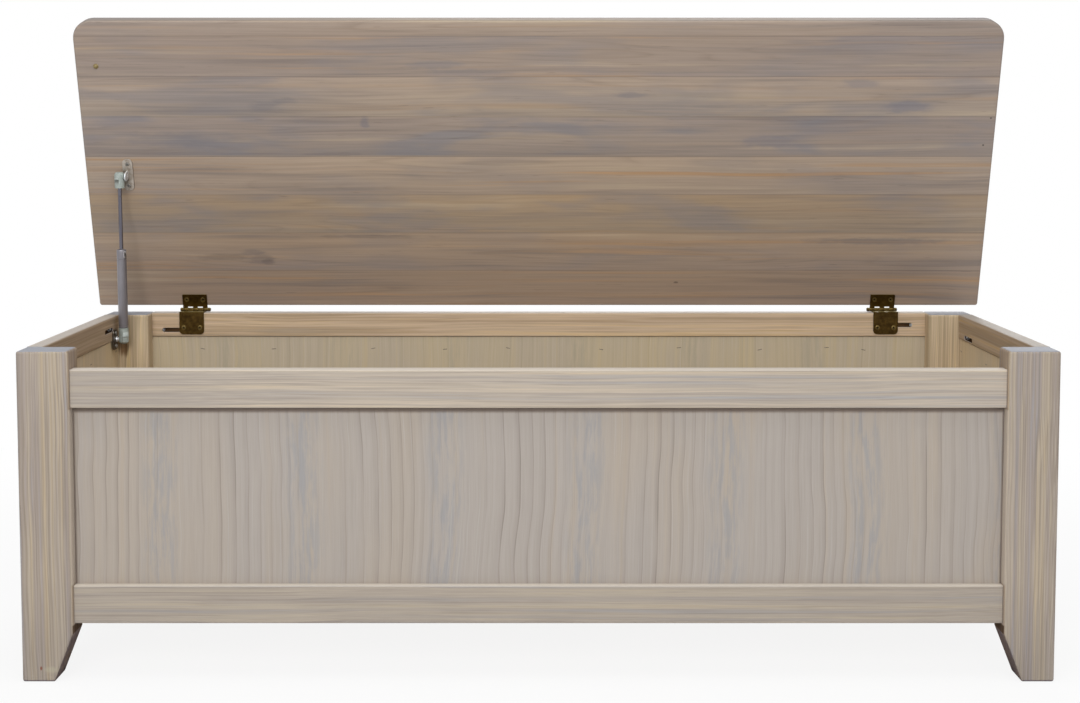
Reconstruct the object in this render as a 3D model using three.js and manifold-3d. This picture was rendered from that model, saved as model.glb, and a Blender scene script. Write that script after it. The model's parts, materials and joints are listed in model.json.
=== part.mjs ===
// Blanket chest in grey-washed pine: four posts, framed ply panels and a lift-up lid that one gas
// strut holds open. Millimetres, +Z up, the front faces -Y, and the lid stands open at rest.

import * as THREE from 'three';
import { mergeVertices } from 'three/addons/utils/BufferGeometryUtils.js';
import Module from 'manifold-3d';

const wasm = await Module();
wasm.setup();

// Carcass
const carcassWidth = 1400;
const carcassDepth = 460;
const rimHeight = 452;

// Posts
const postWidth = 70;
const postDepth = 45;
const postArris = 3;
const postCornerRound = 4;
const footWidth = 44;
const footRound = 3.5;
const taperHeight = 66;

// Rails
const railHeight = 52;
const railThickness = 22;
const railArris = 2;
const frontSetBack = 6;
const fingerGap = 26;
const bottomRailClear = 79;
const railLip = 11;
const rebateHeight = 13;

// Panels, floor and cleats
const panelThickness = 9;
const grooveDepth = 8;
const floorThickness = 9;
const floorEdgeGap = 1;
const cleatWidth = 18;
const cleatHeight = 18;
const cleatRise = 21;

// Gaps between wooden pieces, round screws and along the metal
const woodGap = 0.2;
const panelGap = 0.4;
const boreGap = 0.3;
const metalGap = 0.3;
const seatGap = 0.2;
const cutOverrun = 6;

// Pocket holes and their screws
const pocketAngle = THREE.MathUtils.degToRad(12);
const pocketRadius = 3.4;
const pocketShallow = 0.9;
const pocketHeadRadius = 3.1;
const pocketHeadHeight = 2.4;
const pocketShankRadius = 2;
const pocketTipLength = 4;
const panCrownShare = 0.72;
const bottomPocketRise = 14;
const longPocket = { endDepth: 9, seat: 17, screwLength: 32 };
const sidePocket = { endDepth: 13, seat: 33, screwLength: 50 };
const backLeftPocketDrop = 28;
const backRightPocketDrop = 20;
const backRightPocketSeat = 22;
const leftPocketDrop = 20;
const rightPocketDrop = 33;

// Lid
const lidSideOverhang = 20;
const lidDepth = 472;
const lidThickness = 25;
const lidFrontRadius = 30;
const lidRearRadius = 4;
const lidArris = 3;
const openAngle = THREE.MathUtils.degToRad(74.7);

// Hinges
const hingeInset = 67;
const leafWidth = 40;
const leafOffset = 2;
const leafThickness = 1.5;
const barrelRadius = 3;
const hingePinRadius = 1.5;
const pinHeadLength = 4.5;
const pinHeadRoundShare = 0.7;
const barrelInset = 2;
const lidLeafLength = 20;
const lidEdgeInset = 6.6;
const railLeafDrop = 35;
const railLeafRound = 6;
const lidLeafRound = 1.5;
const knuckleCount = 5;
const knuckleNotch = 2.4;
const hingeScrewSpacing = 26.4;
const lidScrewInset = 11;
const railScrewDrop = 24.2;
const hingeScrewHeadRadius = 3.7;
const hingeScrewShankRadius = 1.75;
const hingeScrewLength = 16;
const hingeScrewTip = 3;

// Gas strut
const strutSideGap = 14;
const strutPivotInset = 63.6;
const strutPivotDrop = 37;
const strutLidReach = 231.1;
const strutStandOff = 12.8;
const cylinderRadius = 7.5;
const cylinderWall = 1.4;
const cylinderLength = 110;
const cylinderBase = 5;
const collarLength = 16;
const collarSpigot = 6;
const collarChamfer = 1.2;
const strutRodRadius = 3;
const pistonLength = 6;
const pistonTenonRadius = 2;
const socketRadius = 7.7;
const socketReach = 18;
const lowerEyeRadius = 7;
const upperEyeRadius = 7.7;
const eyeThickness = 15;
const eyeRoundShare = 0.95;
const sleeveLength = 11;
const stubLength = 9;
const studRadius = 3;

// Strut brackets
const bracketThickness = 2;
const sidePlateWidth = 24;
const sidePlateHeight = 32;
const sidePlateRound = 5;
const sidePlateShift = 5;
const sideStudRadius = 5;
const sideStudCollar = 2.2;
const sideStudReach = 13;
const sideScrewSpacing = 20.6;
const lidPlateWidth = 16;
const lidPlateLength = 52;
const lidPlateRound = 7;
const lidPlateOverlap = 6;
const lidTabWidth = 14;
const lidTabRound = 6.5;
const lidStudReach = 1.2;
const lidScrewSpacing = 36;
const bracketHeadRadius = 3.4;
const bracketHeadHeight = 1.7;
const bracketShankRadius = 1.75;
const bracketScrewLength = 16;

// Bumper
const bumperRadius = 4;
const bumperSideInset = 12;
const bumperFrontInset = 72;
const bumperArris = 0.8;

// Facet counts
const arrisSteps = 2;
const cornerSteps = 2;
const wideCornerSteps = 5;
const boreSides = 8;
const screwSides = 8;
const slotSides = 16;
const barrelSides = 20;
const tubeSides = 20;

// Places that several pieces share
const halfWidth = carcassWidth / 2;
const postInner = halfWidth - postWidth;
const hingePlace = postInner - hingeInset;
const rearPostFront = carcassDepth - postDepth;
const sideRailInner = halfWidth - railThickness;
const backRailInner = carcassDepth - railThickness;
const frontRailInner = frontSetBack + railThickness;
const frontRailTop = rimHeight - fingerGap;
const bottomRailTop = bottomRailClear + railHeight;
const cleatBase = bottomRailClear + cleatRise;
const floorBase = cleatBase + cleatHeight + woodGap;
const pinY = carcassDepth - barrelInset;
const pinZ = rimHeight + seatGap + barrelRadius;
const lidLeafLow = leafThickness + metalGap - barrelRadius;
const lidUnderside = lidLeafLow + leafThickness + seatGap;
const strutX = -(sideRailInner - strutSideGap);
const sidePivot = new THREE.Vector2(pinY - strutPivotInset, rimHeight - strutPivotDrop);

// Merges a geometry's vertices, drops its empty triangles and turns its faces outwards
function closed(geometry) {
  const bare = geometry.index ? geometry.toNonIndexed() : geometry.clone();
  bare.deleteAttribute('normal');
  bare.deleteAttribute('uv');
  const merged = mergeVertices(bare);
  const place = merged.attributes.position;
  const corners = merged.index.array;
  const [a, b, c] = [new THREE.Vector3(), new THREE.Vector3(), new THREE.Vector3()];
  const kept = [];
  let volume = 0;
  for (let i = 0; i < corners.length; i += 3) {
    const [p, q, r] = [corners[i], corners[i + 1], corners[i + 2]];
    if (p === q || q === r || r === p) continue;
    kept.push(p, q, r);
    a.fromBufferAttribute(place, p);
    b.fromBufferAttribute(place, q);
    c.fromBufferAttribute(place, r);
    volume += a.dot(b.cross(c));
  }
  if (volume < 0) kept.reverse();
  merged.setIndex(kept);
  return merged;
}

function solidOf(geometry) {
  const shell = closed(geometry);
  return new wasm.Manifold(new wasm.Mesh({
    numProp: 3,
    vertProperties: new Float32Array(shell.attributes.position.array),
    triVerts: new Uint32Array(shell.index.array),
  }));
}

function geometryOf(solid) {
  const mesh = solid.getMesh();
  const geometry = new THREE.BufferGeometry();
  geometry.setAttribute('position', new THREE.BufferAttribute(new Float32Array(mesh.vertProperties), 3));
  geometry.setIndex(new THREE.BufferAttribute(new Uint32Array(mesh.triVerts), 1));
  return geometry;
}

// Joins a list of shapes into one and takes a list of cutters away from it
function carve(shapes, cutters) {
  let solid = solidOf(shapes[0]);
  for (const shape of shapes.slice(1)) solid = solid.add(solidOf(shape));
  for (const cutter of cutters) solid = solid.subtract(solidOf(cutter));
  return geometryOf(solid);
}

function block(x0, x1, y0, y1, z0, z1) {
  const box = new THREE.BoxGeometry(x1 - x0, y1 - y0, z1 - z0);
  return box.translate((x0 + x1) / 2, (y0 + y1) / 2, (z0 + z1) / 2);
}

// Outline through the corners [across, up, radius], each rounded by its own radius
function roundedOutline(corners) {
  const shape = new THREE.Shape();
  const count = corners.length;
  const points = corners.map(([across, up]) => new THREE.Vector2(across, up));
  for (let i = 0; i < count; i += 1) {
    const corner = points[i];
    const radius = corners[i][2] ?? 0;
    const before = points[(i + count - 1) % count].clone().sub(corner).normalize();
    const after = points[(i + 1) % count].clone().sub(corner).normalize();
    const half = Math.acos(before.dot(after)) / 2;
    const start = corner.clone().addScaledVector(before, radius / Math.tan(half));
    if (i === 0) shape.moveTo(start.x, start.y);
    else shape.lineTo(start.x, start.y);
    if (radius === 0) continue;
    const end = corner.clone().addScaledVector(after, radius / Math.tan(half));
    const middle = before.clone().add(after).setLength(radius / Math.sin(half)).add(corner);
    const from = start.clone().sub(middle).angle();
    const to = end.clone().sub(middle).angle();
    shape.absarc(middle.x, middle.y, radius, from, to, before.cross(after) > 0);
  }
  shape.closePath();
  return shape;
}

function rectangle(x0, x1, y0, y1, radius = 0) {
  return roundedOutline([[x0, y0, radius], [x1, y0, radius], [x1, y1, radius], [x0, y1, radius]]);
}

// Extrudes an outline from 0 to length along Z, with its two end faces' edges rounded by arris
function slab(shape, length, arris = 0, steps = cornerSteps) {
  const geometry = new THREE.ExtrudeGeometry(shape, {
    depth: length - 2 * arris,
    curveSegments: steps,
    bevelEnabled: arris > 0,
    bevelThickness: arris,
    bevelSize: arris,
    bevelOffset: -arris,
    bevelSegments: arrisSteps,
  });
  return geometry.translate(0, 0, arris);
}

// The same with the outline in (y, z), from x = start
function alongX(shape, start, length, arris = 0, steps = cornerSteps) {
  const turn = new THREE.Matrix4().makeBasis(
    new THREE.Vector3(0, 1, 0), new THREE.Vector3(0, 0, 1), new THREE.Vector3(1, 0, 0));
  return slab(shape, length, arris, steps).applyMatrix4(turn).translate(start, 0, 0);
}

// The same with the outline in (x, z), from y = start
function alongY(shape, start, length, arris = 0, steps = cornerSteps) {
  return slab(shape, length, arris, steps).rotateX(Math.PI / 2).translate(0, start + length, 0);
}

// A cylinder from one point to another
function bar(from, to, radius, sides) {
  const run = to.clone().sub(from);
  const geometry = new THREE.CylinderGeometry(radius, radius, run.length(), sides);
  geometry.translate(0, run.length() / 2, 0);
  const turn = new THREE.Quaternion().setFromUnitVectors(new THREE.Vector3(0, 1, 0), run.normalize());
  return geometry.applyQuaternion(turn).translate(from.x, from.y, from.z);
}

// A turned piece whose profile of [radius, height] points runs up the Z axis
function turned(profile, sides) {
  const points = profile.map(([radius, height]) => new THREE.Vector2(radius, height));
  return new THREE.LatheGeometry(points, sides).rotateX(Math.PI / 2);
}

const washedPine = { color: '#a99a87', roughness: 0.62, metalness: 0 };
const washedPly = { color: '#aa9c8a', roughness: 0.6, metalness: 0 };
const lidPine = { color: '#8c7d6c', roughness: 0.6, metalness: 0 };
const rawPine = { color: '#b39a74', roughness: 0.7, metalness: 0 };
const bronze = { color: '#3b2d16', roughness: 0.42, metalness: 0.8 };
const zinc = { color: '#b9bcc0', roughness: 0.35, metalness: 0.9 };
const greyPaint = { color: '#8b8992', roughness: 0.4, metalness: 0.3 };
const paleNylon = { color: '#a3aaa4', roughness: 0.5, metalness: 0 };
const amberRubber = { color: '#8f7a3a', roughness: 0.5, metalness: 0 };

function piece(name, geometry, finish) {
  const mesh = new THREE.Mesh(closed(geometry), new THREE.MeshStandardMaterial(finish));
  mesh.name = name;
  return mesh;
}

// Screws, whose origin is the seat of the head and whose shank points down -Z
function panScrew(headRadius, headHeight, shankRadius, length, tip) {
  return turned([
    [0, -length],
    [shankRadius, tip - length],
    [shankRadius, 0],
    [headRadius, 0],
    [headRadius, headHeight / 2],
    [headRadius * panCrownShare, headHeight],
    [0, headHeight],
  ], screwSides);
}

function sunkScrew() {
  return turned([
    [0, -hingeScrewLength],
    [hingeScrewShankRadius, hingeScrewTip - hingeScrewLength],
    [hingeScrewShankRadius, -leafThickness],
    [hingeScrewHeadRadius, 0],
    [0, 0],
  ], screwSides);
}

// The hole that a countersunk hinge screw needs in its leaf and in the wood
function sunkHole() {
  const neck = hingeScrewShankRadius + boreGap;
  const mouth = hingeScrewHeadRadius + boreGap;
  return turned([
    [0, -hingeScrewLength - boreGap],
    [neck, -hingeScrewLength - boreGap],
    [neck, -leafThickness - boreGap],
    [mouth, 0],
    [mouth, cutOverrun],
    [0, cutOverrun],
  ], slotSides);
}

function shankHole(shankRadius, length) {
  const radius = shankRadius + boreGap;
  const low = new THREE.Vector3(0, 0, -length - boreGap);
  return bar(low, new THREE.Vector3(0, 0, cutOverrun), radius, boreSides);
}

// Turns +Z to the given direction and moves the origin to the given place
function placing(position, outward) {
  const turn = new THREE.Quaternion().setFromUnitVectors(new THREE.Vector3(0, 0, 1), outward);
  return new THREE.Matrix4().compose(position, turn, new THREE.Vector3(1, 1, 1));
}

function placed(mesh, matrix) {
  matrix.decompose(mesh.position, mesh.quaternion, mesh.scale);
  return mesh;
}

// Every pocket hole: the rail and post that it joins, and its line from the end of the rail
function pocketHoles() {
  const holes = [];
  const levels = { top: rimHeight - railHeight / 2, bottom: bottomRailClear + bottomPocketRise };
  const frontTop = frontRailTop - railHeight / 2;
  const backDrops = { left: backLeftPocketDrop, right: backRightPocketDrop };
  const sideDrops = { left: leftPocketDrop, right: rightPocketDrop };
  for (const level of ['top', 'bottom']) {
    for (const end of ['left', 'right']) {
      const sign = end === 'left' ? -1 : 1;
      const along = new THREE.Vector3(-sign, 0, 0);
      const endX = sign * (postInner - woodGap);
      const frontZ = level === 'top' ? frontTop : levels.bottom;
      const backZ = level === 'top' ? rimHeight - backDrops[end] : levels.bottom;
      holes.push({
        name: `front_${level}_${end}`, rail: `front_${level}`, post: `front_${end}`, level, along,
        mouth: new THREE.Vector3(endX, frontRailInner, frontZ),
        inner: new THREE.Vector3(0, 1, 0), ...longPocket,
      });
      holes.push({
        name: `back_${level}_${end}`, rail: `back_${level}`, post: `back_${end}`, level, along,
        mouth: new THREE.Vector3(endX, backRailInner, backZ),
        inner: new THREE.Vector3(0, -1, 0), ...longPocket,
        seat: end === 'right' ? backRightPocketSeat : longPocket.seat,
      });
      const wall = sign * sideRailInner;
      const rearZ = level === 'top' ? rimHeight - sideDrops[end] : levels.bottom;
      holes.push({
        name: `${end}_${level}_front`, rail: `${end}_${level}`, post: `front_${end}`, level,
        along: new THREE.Vector3(0, 1, 0),
        mouth: new THREE.Vector3(wall, postDepth + woodGap, levels[level]),
        inner: new THREE.Vector3(-sign, 0, 0), ...sidePocket,
      });
      holes.push({
        name: `${end}_${level}_back`, rail: `${end}_${level}`, post: `back_${end}`, level,
        along: new THREE.Vector3(0, -1, 0),
        mouth: new THREE.Vector3(wall, rearPostFront - woodGap, rearZ),
        inner: new THREE.Vector3(-sign, 0, 0), ...sidePocket,
      });
    }
  }
  return holes;
}

// The line of a pocket hole, its flat seat, and the direction from the post out to the mouth
function pocketLine(hole) {
  const run = hole.along.clone().multiplyScalar(Math.cos(pocketAngle));
  run.addScaledVector(hole.inner, Math.sin(pocketAngle));
  const end = hole.mouth.clone().addScaledVector(hole.inner, -hole.endDepth);
  const seat = end.clone().addScaledVector(run, hole.seat);
  return { run, seat };
}

// The narrow hole for a pocket screw's shank, on from the seat into the post
function pocketShaft(hole) {
  const { run, seat } = pocketLine(hole);
  const tip = seat.clone().addScaledVector(run, -hole.screwLength - boreGap);
  const mouth = seat.clone().addScaledVector(run, boreGap);
  return bar(tip, mouth, pocketShankRadius + boreGap, boreSides);
}

// A pocket is a slot with flat sides and round ends, whose floor slopes up from the screw's seat
function pocketCutters(hole) {
  const { run, seat } = pocketLine(hole);
  const slope = Math.tan(pocketAngle);
  const deep = hole.seat * Math.cos(pocketAngle) + pocketRadius;
  const deepest = hole.endDepth + pocketRadius - deep * slope;
  const shallow = (hole.endDepth + pocketRadius - pocketShallow) / slope;
  const side = new THREE.Shape([
    new THREE.Vector2(deep, -deepest),
    new THREE.Vector2(shallow, -pocketShallow),
    new THREE.Vector2(shallow, cutOverrun),
    new THREE.Vector2(deep, cutOverrun),
  ]);
  const across = new THREE.Vector3().crossVectors(hole.along, hole.inner);
  const turn = new THREE.Matrix4().makeBasis(hole.along, hole.inner, across).setPosition(hole.mouth);
  const wedge = slab(side, 2 * pocketRadius).translate(0, 0, -pocketRadius).applyMatrix4(turn);
  const ends = [[deep, deepest], [shallow, pocketShallow]].map(([reach, depth]) => {
    const middle = hole.mouth.clone().addScaledVector(hole.along, reach);
    const low = middle.clone().addScaledVector(hole.inner, -depth);
    return bar(low, middle.addScaledVector(hole.inner, cutOverrun), pocketRadius, slotSides);
  });
  const headRoom = bar(seat, seat.clone().addScaledVector(run, 2 * pocketRadius), pocketRadius, slotSides);
  return [wedge, ...ends, headRoom, pocketShaft(hole)];
}

const holes = pocketHoles();

function pocketScrew(hole) {
  const { run, seat } = pocketLine(hole);
  const geometry = panScrew(
    pocketHeadRadius, pocketHeadHeight, pocketShankRadius, hole.screwLength, pocketTipLength);
  const place = seat.clone().addScaledVector(run, seatGap);
  return placed(piece(`pocket_screw_${hole.name}`, geometry, zinc), placing(place, run));
}

// The heights that a panel fills on the front or on another side, tucked in its rails' rebates
function panelHeights(frontSide) {
  const top = (frontSide ? frontRailTop : rimHeight) - railHeight + rebateHeight - panelGap;
  return [bottomRailTop - rebateHeight + panelGap, top];
}

function post(end, side) {
  const sign = side === 'left' ? -1 : 1;
  const front = end === 'front';
  const outer = sign * halfWidth;
  const shape = roundedOutline([
    [outer, 0, footRound],
    [outer - sign * footWidth, 0, footRound],
    [outer - sign * postWidth, taperHeight],
    [outer - sign * postWidth, rimHeight, postCornerRound],
    [outer, rimHeight, postCornerRound],
  ]);
  const start = front ? 0 : rearPostFront;
  const body = alongY(shape, start, postDepth, postArris);
  const [frontLow, frontHigh] = panelHeights(front);
  const [sideLow, sideHigh] = panelHeights(false);
  const face = front ? frontSetBack + railLip : carcassDepth - railLip - panelThickness;
  const grooveX = [sign * (postInner - cutOverrun), sign * (postInner + grooveDepth)].sort(byValue);
  const sideFace = halfWidth - railLip;
  const sideX = [sign * (sideFace + woodGap), sign * (sideFace - panelThickness - woodGap)].sort(byValue);
  const sideY = front
    ? [postDepth - grooveDepth, postDepth + cutOverrun]
    : [rearPostFront - cutOverrun, rearPostFront + grooveDepth];
  const grooveY = [face - woodGap, face + panelThickness + woodGap];
  const cutters = [
    block(...grooveX, ...grooveY, frontLow - woodGap, frontHigh + woodGap),
    block(...sideX, ...sideY, sideLow - woodGap, sideHigh + woodGap),
  ];
  for (const hole of holes) {
    if (hole.post === `${end}_${side}`) cutters.push(pocketShaft(hole));
  }
  return piece(`post_${end}_${side}`, carve([body], cutters), washedPine);
}

function byValue(a, b) {
  return a - b;
}

// A rail's section, from the outer face inwards and up from the rail's underside
function railShape(level, base, outer, inward) {
  const step = level === 'top' ? [0, rebateHeight] : [railHeight - rebateHeight, railHeight];
  const lip = outer + inward * railLip;
  const back = outer + inward * railThickness;
  const top = base + railHeight;
  if (level === 'top') {
    return roundedOutline([
      [outer, base, railArris],
      [lip, base, 0],
      [lip, base + step[1], 0],
      [back, base + step[1], railArris],
      [back, top, railArris],
      [outer, top, railArris],
    ]);
  }
  return roundedOutline([
    [outer, base, railArris],
    [back, base, railArris],
    [back, base + step[0], 0],
    [lip, base + step[0], 0],
    [lip, top, 0],
    [outer, top, railArris],
  ]);
}

function rail(side, level) {
  const topBase = (side === 'front' ? frontRailTop : rimHeight) - railHeight;
  const base = level === 'top' ? topBase : bottomRailClear;
  const across = side === 'front' || side === 'back';
  let body;
  if (across) {
    const outer = side === 'front' ? frontSetBack : carcassDepth;
    const inward = side === 'front' ? 1 : -1;
    const length = 2 * (postInner - woodGap);
    body = alongX(railShape(level, base, outer, inward), -length / 2, length);
  } else {
    const sign = side === 'left' ? -1 : 1;
    const length = rearPostFront - postDepth - 2 * woodGap;
    body = alongY(railShape(level, base, sign * halfWidth, -sign), postDepth + woodGap, length);
  }
  const cutters = holes.filter((hole) => hole.rail === `${side}_${level}`).flatMap(pocketCutters);
  if (side === 'back' && level === 'top') cutters.push(...railLeafHoles());
  if (side === 'left' && level === 'top') cutters.push(...sideBracketHoles());
  return piece(`rail_${side}_${level}`, carve([body], cutters), washedPine);
}

function panel(side) {
  const [low, high] = panelHeights(side === 'front');
  const tuck = grooveDepth - panelGap;
  if (side === 'front' || side === 'back') {
    const face = side === 'front' ? frontSetBack + railLip : carcassDepth - railLip - panelThickness;
    const reach = postInner + tuck;
    return piece(`panel_${side}`, block(-reach, reach, face, face + panelThickness, low, high), washedPly);
  }
  const sign = side === 'left' ? -1 : 1;
  const outer = halfWidth - railLip;
  const span = [sign * outer, sign * (outer - panelThickness)].sort(byValue);
  const body = block(...span, postDepth - tuck, rearPostFront + tuck, low, high);
  return piece(`panel_${side}`, carve([body], side === 'left' ? sideBracketHoles() : []), washedPly);
}

// The floor board fills the space between the rails and is notched round the four posts
function floorPanel() {
  const wide = sideRailInner - floorEdgeGap;
  const narrow = postInner - floorEdgeGap;
  const front = frontRailInner + floorEdgeGap;
  const back = backRailInner - floorEdgeGap;
  const notchFront = postDepth + floorEdgeGap;
  const notchBack = rearPostFront - floorEdgeGap;
  const shape = roundedOutline([
    [-narrow, front], [narrow, front], [narrow, notchFront], [wide, notchFront],
    [wide, notchBack], [narrow, notchBack], [narrow, back], [-narrow, back],
    [-narrow, notchBack], [-wide, notchBack], [-wide, notchFront], [-narrow, notchFront],
  ]);
  return piece('floor_panel', slab(shape, floorThickness).translate(0, 0, floorBase), washedPly);
}

// Cleats are fixed to the inside of the bottom rails and carry the floor
function cleats() {
  const top = cleatBase + cleatHeight;
  const reach = postInner - woodGap;
  const front = frontRailInner + woodGap;
  const back = backRailInner - woodGap;
  const wall = sideRailInner - woodGap;
  const sideSpan = [postDepth + woodGap, rearPostFront - woodGap];
  return [
    piece('cleat_front', block(-reach, reach, front, front + cleatWidth, cleatBase, top), rawPine),
    piece('cleat_back', block(-reach, reach, back - cleatWidth, back, cleatBase, top), rawPine),
    piece('cleat_left', block(-wall, cleatWidth - wall, ...sideSpan, cleatBase, top), rawPine),
    piece('cleat_right', block(wall - cleatWidth, wall, ...sideSpan, cleatBase, top), rawPine),
  ];
}

// Hinges: the rail leaf caps the back rail and hangs down inside it. The lid leaf is drawn closed,
// from the pin's axis. Both roll round the pin in turn, the lid's knuckles being the odd ones.
const knucklePitch = leafWidth / knuckleCount;

function knuckleSpan(index, gap) {
  const start = index * knucklePitch - leafWidth / 2;
  return [start + gap / 2, start + knucklePitch - gap / 2];
}

function knuckles(parity, x, y, z, notch = metalGap) {
  const rolls = [];
  const clearings = [];
  for (let i = 0; i < knuckleCount; i += 1) {
    const [from, to] = knuckleSpan(i, metalGap);
    const [wideFrom, wideTo] = knuckleSpan(i, -metalGap);
    const reach = barrelRadius + metalGap;
    if (i % 2 === parity) {
      const low = new THREE.Vector3(x + from, y, z);
      rolls.push(bar(low, new THREE.Vector3(x + to, y, z), barrelRadius, barrelSides));
    } else {
      const low = y - barrelRadius - notch;
      clearings.push(block(x + wideFrom, x + wideTo, low, y + reach, z - reach, z + reach));
    }
  }
  const half = leafWidth / 2 + cutOverrun;
  const low = new THREE.Vector3(x - half, y, z);
  const bore = bar(low, new THREE.Vector3(x + half, y, z), hingePinRadius + metalGap, barrelSides);
  return { rolls, clearings, bore };
}

function railScrewPlaces(sign) {
  const centre = sign * (hingePlace + leafOffset);
  const face = backRailInner - seatGap - leafThickness;
  const height = rimHeight - railScrewDrop;
  const out = new THREE.Vector3(0, -1, 0);
  return [-1, 1].map((way) => {
    const across = centre + way * hingeScrewSpacing / 2;
    return placing(new THREE.Vector3(across, face, height), out);
  });
}

function railLeafHoles() {
  return [-1, 1].flatMap((sign) => railScrewPlaces(sign).map((place) => sunkHole().applyMatrix4(place)));
}

function lidScrewPlaces(sign) {
  const out = new THREE.Vector3(0, 0, -1);
  return [-1, 1].map((way) => {
    const across = sign * hingePlace + way * hingeScrewSpacing / 2;
    return placing(new THREE.Vector3(across, -lidEdgeInset - lidScrewInset, lidLeafLow), out);
  });
}

function railLeaf(side) {
  const sign = side === 'left' ? -1 : 1;
  const centre = sign * (hingePlace + leafOffset);
  const low = rimHeight - railLeafDrop;
  const top = rimHeight + seatGap + leafThickness;
  const face = backRailInner - seatGap - leafThickness;
  const [x0, x1] = [centre - leafWidth / 2, centre + leafWidth / 2];
  const drop = roundedOutline([[x0, low, railLeafRound], [x1, low, railLeafRound], [x1, top], [x0, top]]);
  const plates = [
    alongY(drop, face, leafThickness),
    block(x0, x1, face, pinY, rimHeight + seatGap, top),
  ];
  const roll = knuckles(1, sign * hingePlace, pinY, pinZ);
  const edgeSpan = metalGap + leafOffset;
  for (const way of [-1, 1]) {
    const edge = sign * hingePlace + way * (leafWidth / 2 + edgeSpan / 2);
    const reach = barrelRadius + metalGap;
    roll.clearings.push(block(
      edge - edgeSpan, edge + edgeSpan, pinY - reach, pinY + reach, pinZ - reach, pinZ + reach));
  }
  const holesHere = railScrewPlaces(sign).map((place) => sunkHole().applyMatrix4(place));
  const plate = carve(plates, roll.clearings);
  return piece(`hinge_${side}_rail_leaf`, carve([plate, ...roll.rolls], [roll.bore, ...holesHere]), bronze);
}

function lidLeaf(side) {
  const sign = side === 'left' ? -1 : 1;
  const centre = sign * hingePlace;
  const [x0, x1] = [centre - leafWidth / 2, centre + leafWidth / 2];
  const front = -lidEdgeInset - lidLeafLength;
  const shape = roundedOutline([[x0, front, lidLeafRound], [x1, front, lidLeafRound], [x1, 0], [x0, 0]]);
  const roll = knuckles(0, centre, 0, 0, knuckleNotch);
  const plate = carve([slab(shape, leafThickness).translate(0, 0, lidLeafLow)], roll.clearings);
  const holesHere = lidScrewPlaces(sign).map((place) => sunkHole().applyMatrix4(place));
  return piece(`hinge_${side}_lid_leaf`, carve([plate, ...roll.rolls], [roll.bore, ...holesHere]), bronze);
}

// A pin whose two button heads close the barrel
function hingePin(side) {
  const sign = side === 'left' ? -1 : 1;
  const half = leafWidth / 2 + metalGap;
  const low = -half - pinHeadLength;
  const rim = barrelRadius * pinHeadRoundShare;
  const geometry = turned([
    [0, low],
    [rim, low],
    [barrelRadius, low + barrelRadius - rim],
    [barrelRadius, -half],
    [hingePinRadius, -half],
    [hingePinRadius, half],
    [barrelRadius, half],
    [barrelRadius, rim - barrelRadius - low],
    [rim, -low],
    [0, -low],
  ], barrelSides);
  geometry.rotateY(Math.PI / 2).translate(sign * hingePlace, pinY, pinZ);
  return piece(`hinge_${side}_pin`, geometry, bronze);
}

function hingeScrews(side, on, places) {
  const names = side === 'left' ? ['outer', 'inner'] : ['inner', 'outer'];
  return places.map((place, i) => placed(
    piece(`hinge_${side}_${on}_screw_${names[i]}`, sunkScrew(), bronze), place));
}

// Lid, drawn closed from the pin's axis
function lid() {
  const back = -lidEdgeInset;
  const front = back - lidDepth;
  const half = halfWidth + lidSideOverhang;
  const shape = roundedOutline([
    [-half, front, lidFrontRadius],
    [half, front, lidFrontRadius],
    [half, back, lidRearRadius],
    [-half, back, lidRearRadius],
  ]);
  const body = slab(shape, lidThickness, lidArris, wideCornerSteps).translate(0, 0, lidUnderside);
  const cutters = [-1, 1].flatMap(lidScrewPlaces).map((place) => sunkHole().applyMatrix4(place));
  for (const place of lidBracketScrewPlaces()) {
    cutters.push(shankHole(bracketShankRadius, bracketScrewLength).applyMatrix4(place));
  }
  return piece('lid', carve([body], cutters), lidPine);
}

// Gas strut: its line runs up +Z from the side pivot
const lidPivot = new THREE.Vector2(-strutLidReach, lidUnderside - strutStandOff);
const openLidPivot = lidPivot.clone().rotateAround(new THREE.Vector2(), -openAngle)
  .add(new THREE.Vector2(pinY, pinZ));
const strutRun = openLidPivot.clone().sub(sidePivot);
const strutLength = strutRun.length();
const strutLean = Math.atan2(-strutRun.x, strutRun.y);
const cylinderLow = socketReach + metalGap;
const cylinderHigh = cylinderLow + cylinderLength;
const collarHigh = cylinderHigh + metalGap + collarLength;
const cylinderBore = cylinderRadius - cylinderWall;
const upperSocketLow = strutLength - socketReach;
const rodLow = cylinderHigh - collarSpigot - pistonLength;

function socketShapes(low, high, eyeAt, eyeRadius) {
  const sleeve = turned([[0, low], [socketRadius, low], [socketRadius, high], [0, high]], tubeSides);
  const middle = (low + high) / 2;
  const [under, over] = eyeAt < middle ? [eyeAt - eyeRadius, middle] : [middle, eyeAt + eyeRadius];
  const endRound = eyeRadius * eyeRoundShare;
  const rounds = eyeAt < middle ? [endRound, 0] : [0, endRound];
  const outline = roundedOutline([
    [-eyeRadius, under, rounds[0]],
    [eyeRadius, under, rounds[0]],
    [eyeRadius, over, rounds[1]],
    [-eyeRadius, over, rounds[1]],
  ]);
  return [sleeve, alongX(outline, -eyeThickness / 2, eyeThickness, 0, wideCornerSteps)];
}

function lowerSocket() {
  const shapes = socketShapes(socketReach - sleeveLength, socketReach, 0, lowerEyeRadius);
  const stud = studRadius + metalGap;
  const stub = strutRodRadius + metalGap;
  const left = new THREE.Vector3(-socketRadius - cutOverrun, 0, 0);
  const stop = new THREE.Vector3(sideStudReach + metalGap - socketRadius, 0, 0);
  const cutters = [
    bar(left, stop, stud, barrelSides),
    bar(new THREE.Vector3(0, 0, socketReach - stubLength), new THREE.Vector3(0, 0, socketReach + cutOverrun),
      stub, barrelSides),
  ];
  return piece('strut_lower_socket', carve(shapes, cutters), paleNylon);
}

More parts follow.
